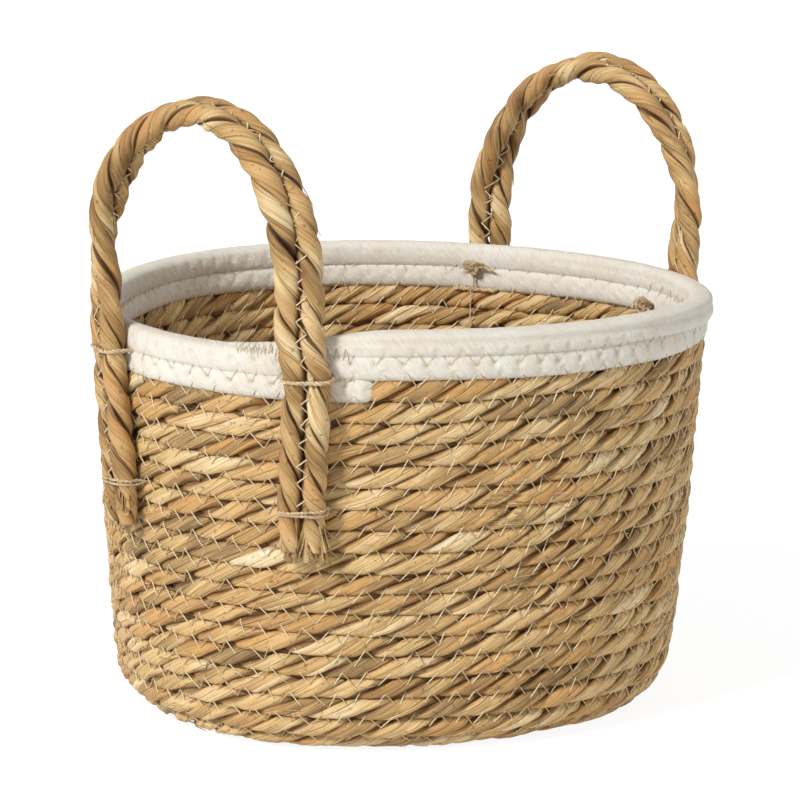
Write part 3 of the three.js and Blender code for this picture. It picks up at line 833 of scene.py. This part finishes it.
def zigzag(first, last, period, reach, seed):
    """Places of a dense zigzag over the joint under the turns first to last."""
    place = np.arange(length_at(first), length_at(last), period / 2)
    index = np.arange(len(place))
    return (turn_at(place + 0.12 * period * pick(seed, index)),
            np.where(index % 2 == 0, 1, -1) * (reach + 0.5 * pick(seed + 1, index)))


def stitch_pieces(side, label):
    """The thread of all joints on one face of the wall. Steep stitches are bright, and some of the others hidden."""
    limits = [0.10, 2.0, 8.0, 14.0, BASE_TURN, LAST_TURN - 1.1]
    for low, high, name in zip(limits[:-1], limits[1:], ["rim", "upper", "middle", "lower", "base"]):
        index = np.arange(int(length_at(low) / STITCH), int(length_at(high) / STITCH) + 1)
        place = apex_turn(index[:-1])
        steep = (index[:-1] + (side < 0) + ((place - 0.93) % 1 < 0.138)) % 2
        shown = (steep > 0) | (pick(35, index[:-1]) > (-0.8 if side > 0 else 0.5))
        bright = np.where(place < COTTON_TURNS - 1, 0.9, steep)
        parts = stitches(apex_turn(index), apex_reach(index), side, 120 + side, bright)
        shell = Shell()
        shell.tubes(*(part[shown] for part in parts))
        if name == "rim" and side == 1:
            for number, tack in enumerate(TACKS):
                shell.tubes(*stitches(*zigzag(*tack, 330 + 2 * number), side, 125, 0.7))
        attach(shell.make(f"{label}_thread_{name}", THREAD, "twine"), "basket")


stitch_pieces(1, "outer")
stitch_pieces(-1, "inner")


def wall_seat(angle, height, faceted=False):
    """A point on the wall's outside under a leg, the way along the wall and the way out of it."""
    radius = wall_radius(height) + (COTTON_DEPTH - GRASS_DEPTH) / 2
    if faceted:
        step = TAU / STEPS_PER_TURN
        start = ROPE_END_ANGLE + math.floor((angle - ROPE_END_ANGLE) / step) * step
        a, b = bowl_point(start, radius, height), bowl_point(start + step, radius, height)
        middle = bowl_point(angle, 0, height)
        ray = bowl_point(angle, radius, height) - middle
        stretch, offset = b - a, a - middle
        share = -np.cross(offset, ray)[..., 2] / np.cross(stretch, ray)[..., 2]
        point, along = a + stretch * share[..., None], unit(stretch)
    else:
        point = bowl_point(angle, radius, height)
        along = unit(bowl_point(angle + 0.01, radius, height) - bowl_point(angle - 0.01, radius, height))
    return point, along, np.stack([along[..., 1], -along[..., 0], 0 * along[..., 0]], -1)


def leg_middle(angle, height, faceted=False):
    point, along, out = wall_seat(angle, height, faceted)
    return point + out * (ROPE_RADIUS + SEAT_GAP), along, out


def gap_height(degrees, level):
    """The height of the gap between two rows that is nearest to a level."""
    turns = np.arange(first_turn_at(math.radians(degrees)), BASE_TURN, 1)
    gaps = (row_middle(turns, 0) + row_middle(turns + 1, 0))[:, 2] / 2
    return gaps[np.argmin(np.abs(gaps - level))]


def leg_angle(leg, height, leg_top):
    """A leg slants a little between its lashings, and keeps straight under them."""
    foot, rim = gap_height(leg["foot"], FOOT_LASHING), gap_height(leg["rim"], RIM_LASHING)
    places = [foot + LASHING_REACH, rim - LASHING_REACH, rim + LASHING_REACH, leg_top]
    return np.radians(np.interp(height, places, [leg["foot"], leg["rim"], leg["rim"], leg["top"]]))


def hinge_of(handle):
    """The level line that a handle bends about, through the middles of its two pairs of ropes above the rim."""
    angles = [math.radians(leg["top"]) for leg in handle["legs"]]
    leg_top = max(row_middle(first_turn_at(angle), 0)[2] for angle in angles) + HALF_COTTON_ROW

    def level(height):
        (p0, a0, o0), (p1, a1, _) = [leg_middle(angle, height, True) for angle in angles]
        along = unit(p1 - p0)
        out = np.array([-along[1], along[0], 0])
        out = out * np.sign(out @ o0)
        return (p0 + p1) / 2, np.linalg.norm(p1 - p0) / 2, along, out, [abs(a0 @ out), abs(a1 @ out)]

    round_ = PAIR_HALF * max(level(leg_top)[-1]) + ROPE_RADIUS + SEAT_GAP / 2
    height = leg_top + round_ + SEAT_GAP
    middle, half, along, out, slants = level(height)
    return {"height": height, "leg_top": leg_top, "middle": middle, "half": half, "along": along, "out": out,
            "starts": [math.asin(slant) for slant in slants]}


def smooth_line(values, reach=4):
    """Gaussian smoothing along a line of points a millimetre apart that keeps its two ends."""
    size = 4 * reach
    kernel = np.exp(-0.5 * (np.arange(-size, size + 1) / reach) ** 2)
    kernel /= kernel.sum()
    head = 2 * values[0] - values[size:0:-1]
    tail = 2 * values[-1] - values[-2:-size - 2:-1]
    return np.stack([np.convolve(column, kernel, "valid") for column in np.concatenate([head, values, tail]).T], -1)


def handle_line(handle, hinge):
    """A handle's pair of ropes from foot to foot: millimetres along, middle, the way to the inner rope, way out."""
    tilt_up = UP * math.cos(ARCH_TILT) + hinge["out"] * math.sin(ARCH_TILT)
    face = hinge["out"] * math.cos(ARCH_TILT) - UP * math.sin(ARCH_TILT)
    heights = np.arange(ROPE_FOOT, hinge["leg_top"], 3.0)
    legs = []
    for leg, level, sign in zip(handle["legs"], (heights, heights[::-1]), (1, -1)):
        point, along, out = leg_middle(leg_angle(leg, level, hinge["leg_top"]), level)
        legs.append((point, along * sign, out))
    widest, near = hinge["half"] + ARCH_FLARE, hinge["half"] + ARCH_FLARE / 2
    turns = np.linspace(0, math.pi, 121)
    width = -widest * np.cos(turns) + handle["lean"] * np.sin(turns) ** 2
    rise = ARCH_STRAIGHT + (handle["rise"] - ARCH_STRAIGHT) * np.sin(turns)
    width = np.concatenate([[-hinge["half"], -near], width, [near, hinge["half"]]])
    rise = np.concatenate([[0, ARCH_STRAIGHT / 2], rise, [ARCH_STRAIGHT / 2, 0]])
    line = hinge["middle"] + hinge["along"] * width[:, None] + tilt_up * rise[:, None]
    inward = unit(np.cross(face, unit(np.gradient(line, axis=0))))
    inside = hinge["middle"] + tilt_up * ARCH_STRAIGHT - line
    inward *= np.where((inward * inside).sum(-1, keepdims=True) < 0, -1, 1)
    half = np.where(np.arange(len(line)) < len(line) // 2, 0, 1)
    start = np.array(hinge["starts"])[half]
    over, early = (np.array([leg[key] for leg in handle["legs"]], float)[half] for key in ("turn", "early"))
    share = clip01(rise / over)
    turn = start + np.radians(early) * (1 - share) + (math.pi / 2 - start) * share * share * (3 - 2 * share)
    turn = turn + handle["tip"] * clip01(rise / handle["rise"]) ** 6
    arch = line, inward * np.cos(turn)[:, None] + face * np.sin(turn)[:, None], face + 0 * line
    middles, pairs, faces = (np.concatenate(parts) for parts in zip(legs[0], arch, legs[1]))
    length = line_lengths(middles)
    at = np.arange(0, length[-1], 1.0)
    middles, pairs, faces = (smooth_line(resampled(at, length, values)) for values in (middles, pairs, faces))
    return at, middles, unit(pairs), unit(faces)


HANDLE_LAY = 41.0
HANDLE_BLADES = 3
HANDLE_SIDES = 36
HANDLE_PLY_CENTRE = 0.44
HANDLE_PLY_DEEP = 0.58
HANDLE_PLY_WIDE = 0.785
HANDLE_PINCH = 0.15
# Beyond this share of the rope's radius a strand is rounded off
HANDLE_ROUND = 1.16


def handle_rope(centre, faces, swell, seed, beside, dim):
    """Two strands twisted round each other along a centre line: rings, strand coordinates and look of each.
    beside is the way to the other rope, the valley towards which gets painted shade, and dim is how much painted
    shade darkens each place."""
    _, normal, across = line_frames(centre, faces)
    length = line_lengths(centre)
    column = length[:, None]
    rate = 1 / HANDLE_LAY * (1 + 0.14 * wave(seed, length / 60))
    spin = np.cumsum(rate) * (length[-1] / len(length)) * TAU
    for level in (FOOT_LASHING, RIM_LASHING):
        swell = swell - HANDLE_PINCH * np.exp(-((centre[:, 2] - level) / 3.0) ** 2)
    loose = clip01((length - 1) / 14) * clip01((length[-1] - length - 1) / 14)
    size = (ROPE_RADIUS * swell * (0.72 + 0.28 * loose))[:, None]
    alpha = ply_angles(HANDLE_SIDES, math.radians(135))
    full_x, full_y = square_out(np.cos(alpha), np.sin(alpha), 3.0)
    for ply in range(2):
        phase = -(spin[:, None] + math.pi * ply + seed) + 0.3 * wave(seed + 3 + ply, column / 24)
        thick = 1 + 0.10 * wave(seed + 5 + ply, column / 18) + 0.05 * wave(seed + 7 + ply, column / 5)
        count = (alpha / TAU + 0.5) * HANDLE_BLADES + column / 120 + 1.1 * wave(seed + 9 + ply, column / 50)
        blade = np.floor(count)
        fold = np.abs((count * 2 + 0.5 * wave(seed + 19 + ply, column / 16)) % 1 - 0.5)
        fold = np.exp(-(fold / 0.10) ** 2) * clip01(wave(seed + 23, column / 22 + 7 * np.floor(count * 2)) * 3)
        step = (count - blade - 0.5) * 0.07 + 0.04 * wave(seed + 11, column / 4.3 + 9 * blade) - 0.045 * fold
        x = HANDLE_PLY_CENTRE + HANDLE_PLY_DEEP * thick * (1 + step) * full_x
        y = HANDLE_PLY_WIDE * thick * (1 + step) * full_y
        rounding = (1 + (np.hypot(x, y) / HANDLE_ROUND) ** 8) ** (-1 / 8)
        x, y = x * rounding, y * rounding
        px, py = rotated(x, y, phase)
        rings = centre[:, None] + normal[:, None] * (px * size)[..., None] + across[:, None] * (py * size)[..., None]
        tone = 0.5 + 0.50 * wave(seed + 12 + ply, column / 12) + 0.28 * pick(seed + 14, blade.astype(int) * 13 + ply)
        warm = 0.5 + 0.6 * wave(seed + 15 + ply, column / 14)
        # Painted shade in the crease between the strands, in the valley towards the other rope and along the folds
        crease_shade = clip01((0.19 - x) / 0.13)
        valley_shade = clip01(((rings - centre[:, None]) * beside[:, None]).sum(-1) / ROPE_RADIUS * 3.4 - 2.4)
        painted_shade = np.maximum(np.maximum(crease_shade, valley_shade), 0.45 * fold)
        strand = stack(column * MM + seed, count + 40 * ply, float(ply + seed % 7))
        yield rings, strand, stack(tone - dim[:, None], painted_shade, warm)


# The thread that holds a pair of ropes together: from how far up it starts, from stitch to stitch, its radius
SEWN_FROM = 18
SEWN_STEP = 4.4
SEWN_RADIUS = 0.34
# A height above a handle's hinge, in millimetres
BEND_OVER = 22


def handle_stitches(at, centre, pairs, faces, face_side):
    """Zigzag thread in the valley between two ropes, on one face of the pair."""
    seed = 300 + face_side
    index = np.arange(int(SEWN_FROM / SEWN_STEP), int((at[-1] - SEWN_FROM) / SEWN_STEP))
    def apex(i):
        return i * SEWN_STEP + 1.0 * pick(seed, i), np.where(i % 2 == 0, 1.6, -3.8) + 0.8 * pick(seed, i + 999)
    (s0, v0), (s1, v1) = apex(index), apex(index + 1)
    share = np.array([0, 0, 0.2, 0.5, 0.8, 1, 1])
    sunk = np.array([1.8, 0.5, 0, 0, 0, 0.5, 1.8])
    s = s0[:, None] + (s1 - s0)[:, None] * share
    v = v0[:, None] + (v1 - v0)[:, None] * share
    _, pair, face = line_frames(centre, pairs)
    face = face * np.sign((face * faces).sum(-1, keepdims=True))
    length = line_lengths(centre)
    centre, pair, face = (resampled(s, length, values) for values in (centre, pair, face))
    rise = np.sqrt(np.maximum(ROPE_RADIUS ** 2 - (np.abs(v) - PAIR_HALF) ** 2, 0)) * 0.95
    rise = np.maximum(rise, 3.9) - sunk
    points = centre + pair * v[..., None] + face * (face_side * rise)[..., None]
    strand = stack((s * MM)[..., None], np.arange(5) / 5.0, (index % 89)[:, None, None] * 1.7)
    return round_tube(points, face, SEWN_RADIUS, 5), strand, stack((index % 2)[:, None, None], 0, 0)


def bend_with_handle(piece, side, hinge):
    """Finds the heights from a handle's leg top to BEND_OVER above its hinge, and bakes the piece's transform into
    its mesh.
    """
    start, end = (Vector((0, 0, height * MM)) for height in (hinge["leg_top"], hinge["height"] + BEND_OVER))
    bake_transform(piece)


def make_handle(side, handle):
    hinge = hinge_of(handle)
    at, middle, pairs, faces = handle_line(handle, hinge)
    on_arch = clip01((middle[:, 2] - hinge["height"]) / 20)
    # Painted shade on the ropes near the first foot
    dim = handle["dim"] * clip01(1.4 - at / 90)
    for label, sign in (("inner", 1), ("outer", -1)):
        seed = 200 + 40 * (side == "right") + 20 * (label == "outer")
        swell = 1.03 + 0 * at
        for place, reach, more in handle["swells"][label]:
            swell += more * np.exp(-((at / at[-1] - place) / reach) ** 2)
        centre = middle + pairs * (PAIR_HALF * (1 - 0.06 * on_arch) * sign)[:, None]
        shell = Shell()
        for parts in handle_rope(centre, faces, swell, seed, -sign * pairs, dim):
            shell.tube(*parts)
        rope = shell.make(f"{side}_rope_{label}", HANDLE_GRASS, "seagrass_handle")
        bend_with_handle(rope, side, hinge)
        legs = [f"{side}_{leg['name']}_leg_{label}" for leg in handle["legs"]]
        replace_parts(rope, f"{side}_arch_{label}", *legs)
    shell = Shell()
    for face_side in (1, -1):
        shell.tubes(*handle_stitches(at, middle, pairs, faces, face_side))
    bend_with_handle(shell.make(f"{side}_rope_stitches", THREAD, "twine"), side, hinge)
    shell = stray_fibres(side, hinge, middle, pairs, faces)
    bend_with_handle(shell.make(f"{side}_rope_fibres", HANDLE_GRASS, "seagrass_handle"), side, hinge)


def fibre(shell, points, radius, tone, number, sides=4):
    """A thin fibre or blade along points, fine at its ends."""
    u = np.linspace(0, 1, len(points))
    thin = radius * (0.25 + 0.75 * np.sin(math.pi * np.clip(u, 0.04, 0.96)) ** 0.6)
    rings = round_tube(points, np.array([0.31, 0.42, 0.85]), thin, sides)
    strand = stack((u * 0.01 + number)[:, None], np.arange(sides) / sides + 0.1, float(number))
    shell.tube(rings, strand, (tone, 0.0, 0.4))


# Single fibres on the ropes, and tufts: millimetres from the first foot, how many blades and how long. The rolled
# end is one blade.
STRAY_COUNT = 60
TUFTS = {"left": [(69, 4, 3.2), (41, 2, 4.5), (84, 3, 2.0)], "right": [(133, 2, 2.0)]}
ROLLED_END = 110
TO_CAMERA = np.array([-0.809, -0.588, 0.0])


def stray_fibres(side, hinge, middle, pairs, faces):
    """Blades and fibres that stand off the handle's ropes."""
    rng = np.random.default_rng(610 + len(side))
    shell = Shell()
    for number in range(STRAY_COUNT):
        index = rng.integers(20, len(middle) - 40)
        reach = int(rng.uniform(4, 14))
        part = slice(index, index + reach)
        turn = rng.uniform(0, TAU)
        way = pairs[part] * math.cos(turn) + faces[part] * math.sin(turn)
        u = np.linspace(0, 1, reach)[:, None]
        off = pairs[part] * (PAIR_HALF * np.sign(math.cos(turn)))
        lift = ROPE_RADIUS * 0.98 + rng.uniform(0.1, 0.9) * u ** 2 - 0.3
        points = middle[part] + off + way * lift + np.cross(way, faces[part]) * rng.uniform(-2, 2) * u
        in_wall = hinge["leg_top"] - 4 > points[0, 2] and (points - middle[part]).dot(faces[index]).min() < 0
        if not in_wall:
            fibre(shell, points, rng.uniform(0.10, 0.24), rng.uniform(0.2, 1.0), number)
    for index, count, reach in TUFTS[side]:
        for number in range(count):
            u = np.linspace(0, 1, 8)[:, None]
            way = unit(-pairs[index] + faces[index] * rng.uniform(-0.5, 0.5))
            slant = UP * rng.uniform(-0.9, 0.3)
            points = middle[index] - pairs[index] * PAIR_HALF + way * ROPE_RADIUS * 0.9 + (way + slant) * reach * u
            points = points + UP * rng.uniform(-1.5, 1.5) * (1 + u * u)
            fibre(shell, points, rng.uniform(0.15, 0.45), rng.uniform(0.1, 0.9), number)
    if side == "left":
        turn = np.linspace(0, 2.6 * TAU, 90)[:, None]
        grow = 0.15 + 0.85 * turn / turn[-1]
        centre = middle[ROLLED_END] - pairs[ROLLED_END] * PAIR_HALF + TO_CAMERA * ROPE_RADIUS * 0.92
        points = centre + np.cross(TO_CAMERA, UP) * (2.1 * grow * np.cos(turn)) + UP * (4.6 * grow * np.sin(turn))
        fibre(shell, points + TO_CAMERA * (1.6 * (1 - grow ** 2)), 0.55, 0.15, 3)
    return shell


for side, handle in HANDLES.items():
    make_handle(side, handle)


# The curl in the heart of the base: where its radius starts and by how much it shrinks, its turns, and how many
# of them lie beside the end of the last row
HEART_FROM = 6.2
HEART_INWARDS = 4.7
HEART_TURNS = 1.22
HEART_OVERLAP = 0.14
HEART_SWELL = 0.74


def heart():
    """The rope's first end, curled up in the middle of the base."""
    share = np.linspace(0, 1, 60)
    angle = ROPE_END_ANGLE + (LAST_TURN - HEART_OVERLAP + HEART_TURNS * share) * TAU
    centre = bowl_point(angle, HEART_FROM - HEART_INWARDS * share ** 0.9, row_middle(LAST_TURN)[2])
    up = UP + 0 * centre
    shell = Shell()
    for parts in handle_rope(centre, up, HEART_SWELL + 0 * share, 460, 0 * up, 0 * share):
        shell.tube(*parts)
    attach(shell.make("base_heart", GRASS, "seagrass"), "basket")


heart()

# Twine lashings: how far the twine's middle is off what it is tied round, how thin it pulls the ropes, its twist,
# the step from wrap to wrap and its bends at the back
TWINE_REACH = 0.75
TWINE_WAIST = 0.87
TWINE_LAY = 4.2
TWINE_STEP = 1.6
TWINE_BEND = 1.6
TWINE_BACK = -COTTON_DEPTH - TWINE_REACH


def arc(centre, radius, start, end, count):
    turn = np.linspace(start, end, count)
    return np.stack([centre[0] + radius * np.cos(turn), centre[1] + radius * np.sin(turn)], -1)


def lashing_loop():
    """Closed line of the twine in section: round the front of both ropes, in through the wall and back."""
    bend = ROPE_RADIUS * TWINE_WAIST + TWINE_REACH
    half = PAIR_HALF + ROPE_RADIUS * TWINE_WAIST + TWINE_REACH
    front = SEAT_GAP + ROPE_RADIUS * (1 + TWINE_WAIST) + TWINE_REACH
    dip = [[x, front - depth] for x, depth in
           ((half - bend - 3, 0), (1.6, 0.5), (0, 0.9), (-1.6, 0.5), (bend + 3 - half, 0))]
    line = np.concatenate([
        arc((half - bend, front - bend), bend, 0, math.pi / 2, 9), dip,
        arc((bend - half, front - bend), bend, math.pi / 2, math.pi, 9),
        arc((TWINE_BEND - half, TWINE_BACK + TWINE_BEND), TWINE_BEND, math.pi, 1.5 * math.pi, 6),
        arc((half - TWINE_BEND, TWINE_BACK + TWINE_BEND), TWINE_BEND, 1.5 * math.pi, TAU, 6),
    ])
    closed = np.concatenate([line, line[:1]])
    length = line_lengths(closed)
    at = np.arange(0, length[-1], 0.5)
    return resampled(at, length, closed), at


def twisted_twine(shell, points, hint, radius, number, taper=False, fuzz=None, pale=0.75):
    """Two fine plies twisted into twine along points, with fuzz fibres that stand off it."""
    length = line_lengths(points)
    along, first, second = line_frames(points, hint)
    size = radius * (1 + 0.14 * wave(int(number * 10) % 997, length / 3))
    if taper:
        size = size * np.clip((length[-1] - length) / 4, 0.25, 1)
    for ply in range(2):
        turn = length / TWINE_LAY * TAU + math.pi * ply
        line = points + (first * np.cos(turn)[:, None] + second * np.sin(turn)[:, None]) * (size * 0.5)[:, None]
        strand = stack((length * MM + number)[:, None], np.arange(7) / 7.0, number + ply * 0.5)
        tone = pale + 0.3 * wave(int(number * 7) % 991 + ply, length / 5)[:, None]
        shell.tube(round_tube(line, hint, size * 0.56, 7), strand, stack(tone, 0.0, 0.0))
    for hair in range(0 if fuzz is None else int(length[-1] * 1.1)):
        index = fuzz.integers(0, len(points))
        turn, reach = fuzz.uniform(0, TAU), fuzz.uniform(1.2, 3.6)
        way = first[index] * math.cos(turn) + second[index] * math.sin(turn)
        u = np.linspace(0, 1, 6)[:, None]
        hairline = points[index] + way * (radius * 0.7 + 0.55 * reach * u)
        hairline = hairline + along[index] * fuzz.uniform(-1, 1) * reach * u
        hairline[:, 2] -= fuzz.uniform(0, 0.5) * reach * u[:, 0] ** 2
        fibre(shell, hairline, fuzz.uniform(0.05, 0.11), fuzz.uniform(0.3, 1.0), hair, 3)


def lashing(side, leg, place, level, wraps, radius):
    """The twine round a leg's two ropes, and its knot and tails inside the wall."""
    height = gap_height(leg[place], level)
    seed = int(abs(leg[place]) * 7 + height)
    rng = np.random.default_rng(seed)
    shell = Shell()
    point, along, out = wall_seat(math.radians(leg[place]), height)

    def tie(points, heights, *values, **more):
        points[:, 2] = heights
        twisted_twine(shell, points, *values, **more)

    line, at = lashing_loop()
    for wrap in range(wraps):
        lift = (wrap - (wraps - 1) / 2) * TWINE_STEP
        slope = rng.uniform(-0.05, 0.05)
        wobble = 0.35 * wave(seed + wrap, at / 6) - 0.5 * np.exp(-(line[:, 0] / 3.5) ** 2)
        inside = clip01((line[:, 1] + 2) / 4)
        heights = height + (lift + slope * line[:, 0] + wobble) * inside
        points = point + along * line[:, :1] + out * line[:, 1:]
        closed = [*range(len(line)), 0, 1]
        tie(points[closed], heights[closed], UP, radius, seed + wrap * 0.3, fuzz=rng)
    higher, larger = leg["knot"] if place == "rim" else (0, 1)
    knot = point + out * (TWINE_BACK - 1.2)
    rise = np.linspace(0, higher + 0.1, 12)
    still = 0 * rise[:, None]
    tie(knot + out * 0.4 + still, height + rise, out, 0.6, seed + 9.1, pale=0.4)
    if higher > 10:
        tie(knot + along * 1.5 + still, height - 2 * rise, out, 0.5, seed + 7.1, taper=True, fuzz=rng, pale=0.8)
    height += higher
    t = np.linspace(0, TAU, 70)
    for number in range(1 if larger == 1 else 3):
        t = t + 0.7 * number
        loop = np.stack([np.sin(t) + 2 * np.sin(2 * t), np.cos(t) - 2 * np.cos(2 * t), -np.sin(3 * t)], -1)
        loop = loop * np.array([1.25, 0.80, 0.85]) * (larger if number == 0 else 0.75 * larger)
        points = knot - out * 0.8 * (larger - 1) + along * loop[:, :1] + out * loop[:, 2:3]
        tie(points, height + loop[:, 1], out, 0.85, seed + 5.1 + number, fuzz=rng, pale=0.35)
    for tail in (-1, 1):
        reach = rng.uniform(7, 13)
        u = np.linspace(0, 1, 26)
        points = knot - out * (0.5 + 0.9 * u - 1.2 * u * u)[:, None] + along * (tail * reach * u)[:, None]
        heights = height - rng.uniform(1.0, 4.0) * u ** 1.6 + rng.uniform(-0.6, 0.8) * np.sin(u * 4)
        tie(points, heights, out, 0.7, seed + tail, taper=True, fuzz=rng)
    tied = shell.make(f"{side}_{leg['name']}_{place}_twine", TWINE, "twine")
    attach(tied, "basket")
    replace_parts(tied, f"{side}_{leg['name']}_{place}_lashing")


for side, leg in LEGS:
    lashing(side, leg, "foot", FOOT_LASHING, 2, 0.66)
    lashing(side, leg, "rim", RIM_LASHING, 1, 1.0)


FRAY_BLADES = 22
FRAY_CORNERS = ((1, 0), (0.5, 1), (-0.5, 1), (-1, 0), (-0.5, -1), (0.5, -1))


def frays(side, leg):
    """Flat blades that fan out below the foot lashing of one leg."""
    rng = np.random.default_rng(500 + int(leg["foot"]) % 360)
    top = gap_height(leg["foot"], FOOT_LASHING) + 3
    shell = Shell()
    u = np.linspace(0, 1, 14)
    for rope, flare in zip((-1, 1), leg["flares"]):
        for blade in range(FRAY_BLADES):
            spread = rng.uniform(-1, 1)
            bottom = ROPE_FOOT - leg["longer"] + rng.uniform(-2.5, 4.5) + 2.0 * spread * spread
            height = top + (bottom - top) * u
            point, along, out = leg_middle(math.radians(leg["foot"]), height)
            sideways = rope * PAIR_HALF + spread * (3.0 + flare * u ** 2)
            sideways += 0.4 * np.sin(u * rng.uniform(2, 5) + blade)
            outward = rng.uniform(-1.6, 3.2) * (1 - 0.6 * abs(spread)) + rng.uniform(-0.4, 2.2) * u ** 2
            points = point + along * sideways[:, None] + out * outward[:, None]
            points[:, 2] = height
            width, thick = rng.uniform(0.6, 1.5), rng.uniform(0.14, 0.24)
            _, across, flat = line_frames(points, along[0] + out[0] * rng.uniform(-0.9, 0.9))
            curl = np.linspace(0, rng.uniform(-0.9, 0.9), len(u))[:, None]
            wide = across * np.cos(curl) + flat * np.sin(curl)
            deep = flat * np.cos(curl) - across * np.sin(curl)
            w = (width * (0.75 + 0.45 * u))[:, None]
            rings = np.stack([points + (wide * w * a + deep * thick * b) for a, b in FRAY_CORNERS], 1)
            strand = stack(((top - height) * MM + blade * 0.31)[:, None], np.linspace(0.1, 0.9, 6) + blade,
                           float(blade + rope))
            tone = rng.uniform(0.2, 0.8) + 0.35 * clip01(u * 4 - 3)
            shell.tube(rings, strand, stack(tone[:, None], 0.15, rng.uniform(0, 0.8)))
    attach(shell.make(f"{side}_{leg['name']}_frayed_ends", HANDLE_GRASS, "seagrass_handle"), "basket")


for side, leg in LEGS:
    frays(side, leg)

# Short ends of blades that lie all over the rows, and more in one mess of them on the wall
LOOSE_COUNT = 420
MESS_COUNT = 46
MESS_ANGLE = math.radians(-122.5)
MESS_ROW = 7


def loose_bits():
    """Short ends of blades and fibres that lie on the rows."""
    rng = np.random.default_rng(720)
    shell = Shell()
    places = [(rng.uniform(COTTON_TURNS, BASE_TURN), rng.uniform(-0.8, 0.8), 1 if rng.uniform() < 0.7 else -1)
              for _ in range(LOOSE_COUNT)]
    mess = first_turn_at(MESS_ANGLE) + MESS_ROW
    places += [(mess + rng.uniform(-0.012, 0.012) + rng.integers(0, 2), rng.uniform(-0.9, 0.9), 1)
               for _ in range(MESS_COUNT)]
    u = np.linspace(0, 1, 7)
    for number, (turn, level, side) in enumerate(places):
        reach = rng.uniform(3, 15 if number < LOOSE_COUNT else 10)
        turns = turn_at(length_at(turn) + reach * u)
        levels = np.clip(level + rng.uniform(-0.25, 0.6) * u * reach / 12, -0.92, 0.92)
        middle, _, up, out, half_up, half_down = row_frame(turns)
        lift = row_face(turns, levels, side) + 0.15 + rng.uniform(0, 1.6) * u ** 2 * (rng.uniform() < 0.4)
        height = levels * np.where(levels > 0, half_up, half_down) * ROW_SWELL
        points = middle + up * height[:, None] + side * out * lift[:, None]
        if points[:, 2].min() > 1:
            fibre(shell, points, rng.uniform(0.08, 0.34), rng.uniform(0.1, 1.0), number)
    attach(shell.make("loose_bits", GRASS, "seagrass"), "basket")


loose_bits()

# The studio: a white floor that glows a little, more so for the eye than as light on the basket, and a white room
WHITE = (1, 1, 1, 1)
FLOOR_COLOUR = (0.9, 0.9, 0.9, 1)
FLOOR_HALF = 12.0
FLOOR_HEIGHT = -0.0002
FLOOR_GLOW = 1.18
GLOW_SHARE = 0.20
GLOW_SEEN = 0.56
ROOM_FILL = 0.40
# Suns: the way to each, right, away and up from the camera, its strength and its width in degrees
SUNS = {"key": ((-0.85, -0.9, 0.9), 2.75, 12), "side": ((0.9, -0.6, 0.5), 0.35, 25)}
# The camera, as fitted to the photograph: pixels, degrees and millimetres
PHOTO_SIZE = 800
FOCAL = 4500.4
VIEW_TURN = math.radians(-54)
ELEVATION = math.radians(11.286)
ROLL = math.radians(0.549)
AIM_RIGHT = 6.46
AIM_UP = 134.78
DISTANCE = 2068.9
SENSOR = 36

n = Nodes(bpy.data.materials.new("studio_floor"))
shaders = n.add("BsdfDiffuse", {"Color": FLOOR_COLOUR}), n.add("Emission", {"Color": WHITE, "Strength": FLOOR_GLOW})
n.add("OutputMaterial", {"Surface": n.add("MixShader", [n.seen() * GLOW_SEEN + GLOW_SHARE, *shaders])})
mesh = bpy.data.meshes.new("studio_floor")
corners = [(x * FLOOR_HALF, y * FLOOR_HALF, FLOOR_HEIGHT) for x, y in ((-1, -1), (1, -1), (1, 1), (-1, 1))]
mesh.from_pydata(corners, [], [(0, 1, 2, 3)])
mesh.materials.append(n.owner)
add_object("studio_floor", mesh)

bpy.context.scene.world = bpy.data.worlds.new("studio")
n = Nodes(bpy.context.scene.world)
shaders = n.add("Background", {"Color": WHITE, "Strength": ROOM_FILL}), n.add("Background", {"Color": WHITE})
n.add("OutputWorld", {"Surface": n.add("MixShader", [n.seen(), *shaders])})


def from_view(x, y, z):
    """A way given as right, away and up from the camera, in the part's frame."""
    return Vector((*rotated(x, y, VIEW_TURN), z))


for name, (way, strength, width) in SUNS.items():
    lamp = bpy.data.lights.new(name, "SUN")
    lamp.energy = strength
    lamp.angle = math.radians(width)
    add_object(name, lamp).rotation_euler = from_view(*way).to_track_quat("Z", "Y").to_euler()

camera_data = bpy.data.cameras.new("photo_view")
camera_data.sensor_width = SENSOR
camera_data.lens = FOCAL * SENSOR / PHOTO_SIZE
camera_data.clip_end = 50
camera = add_object("photo_view", camera_data)
aim = from_view(AIM_RIGHT * MM, 0, AIM_UP * MM) + Vector(SHIFT * MM)
back = from_view(0, -math.cos(ELEVATION), math.sin(ELEVATION))
right = from_view(1, 0, 0)
up = back.cross(right)
rolled_right = right * math.cos(ROLL) + up * math.sin(ROLL)
rolled_up = up * math.cos(ROLL) - right * math.sin(ROLL)
turned = Matrix((rolled_right, rolled_up, back)).transposed().to_4x4()
camera.matrix_world = Matrix.Translation(aim + back * DISTANCE * MM) @ turned
bpy.context.scene.camera = camera

bpy.context.scene.view_settings.view_transform = "Standard"
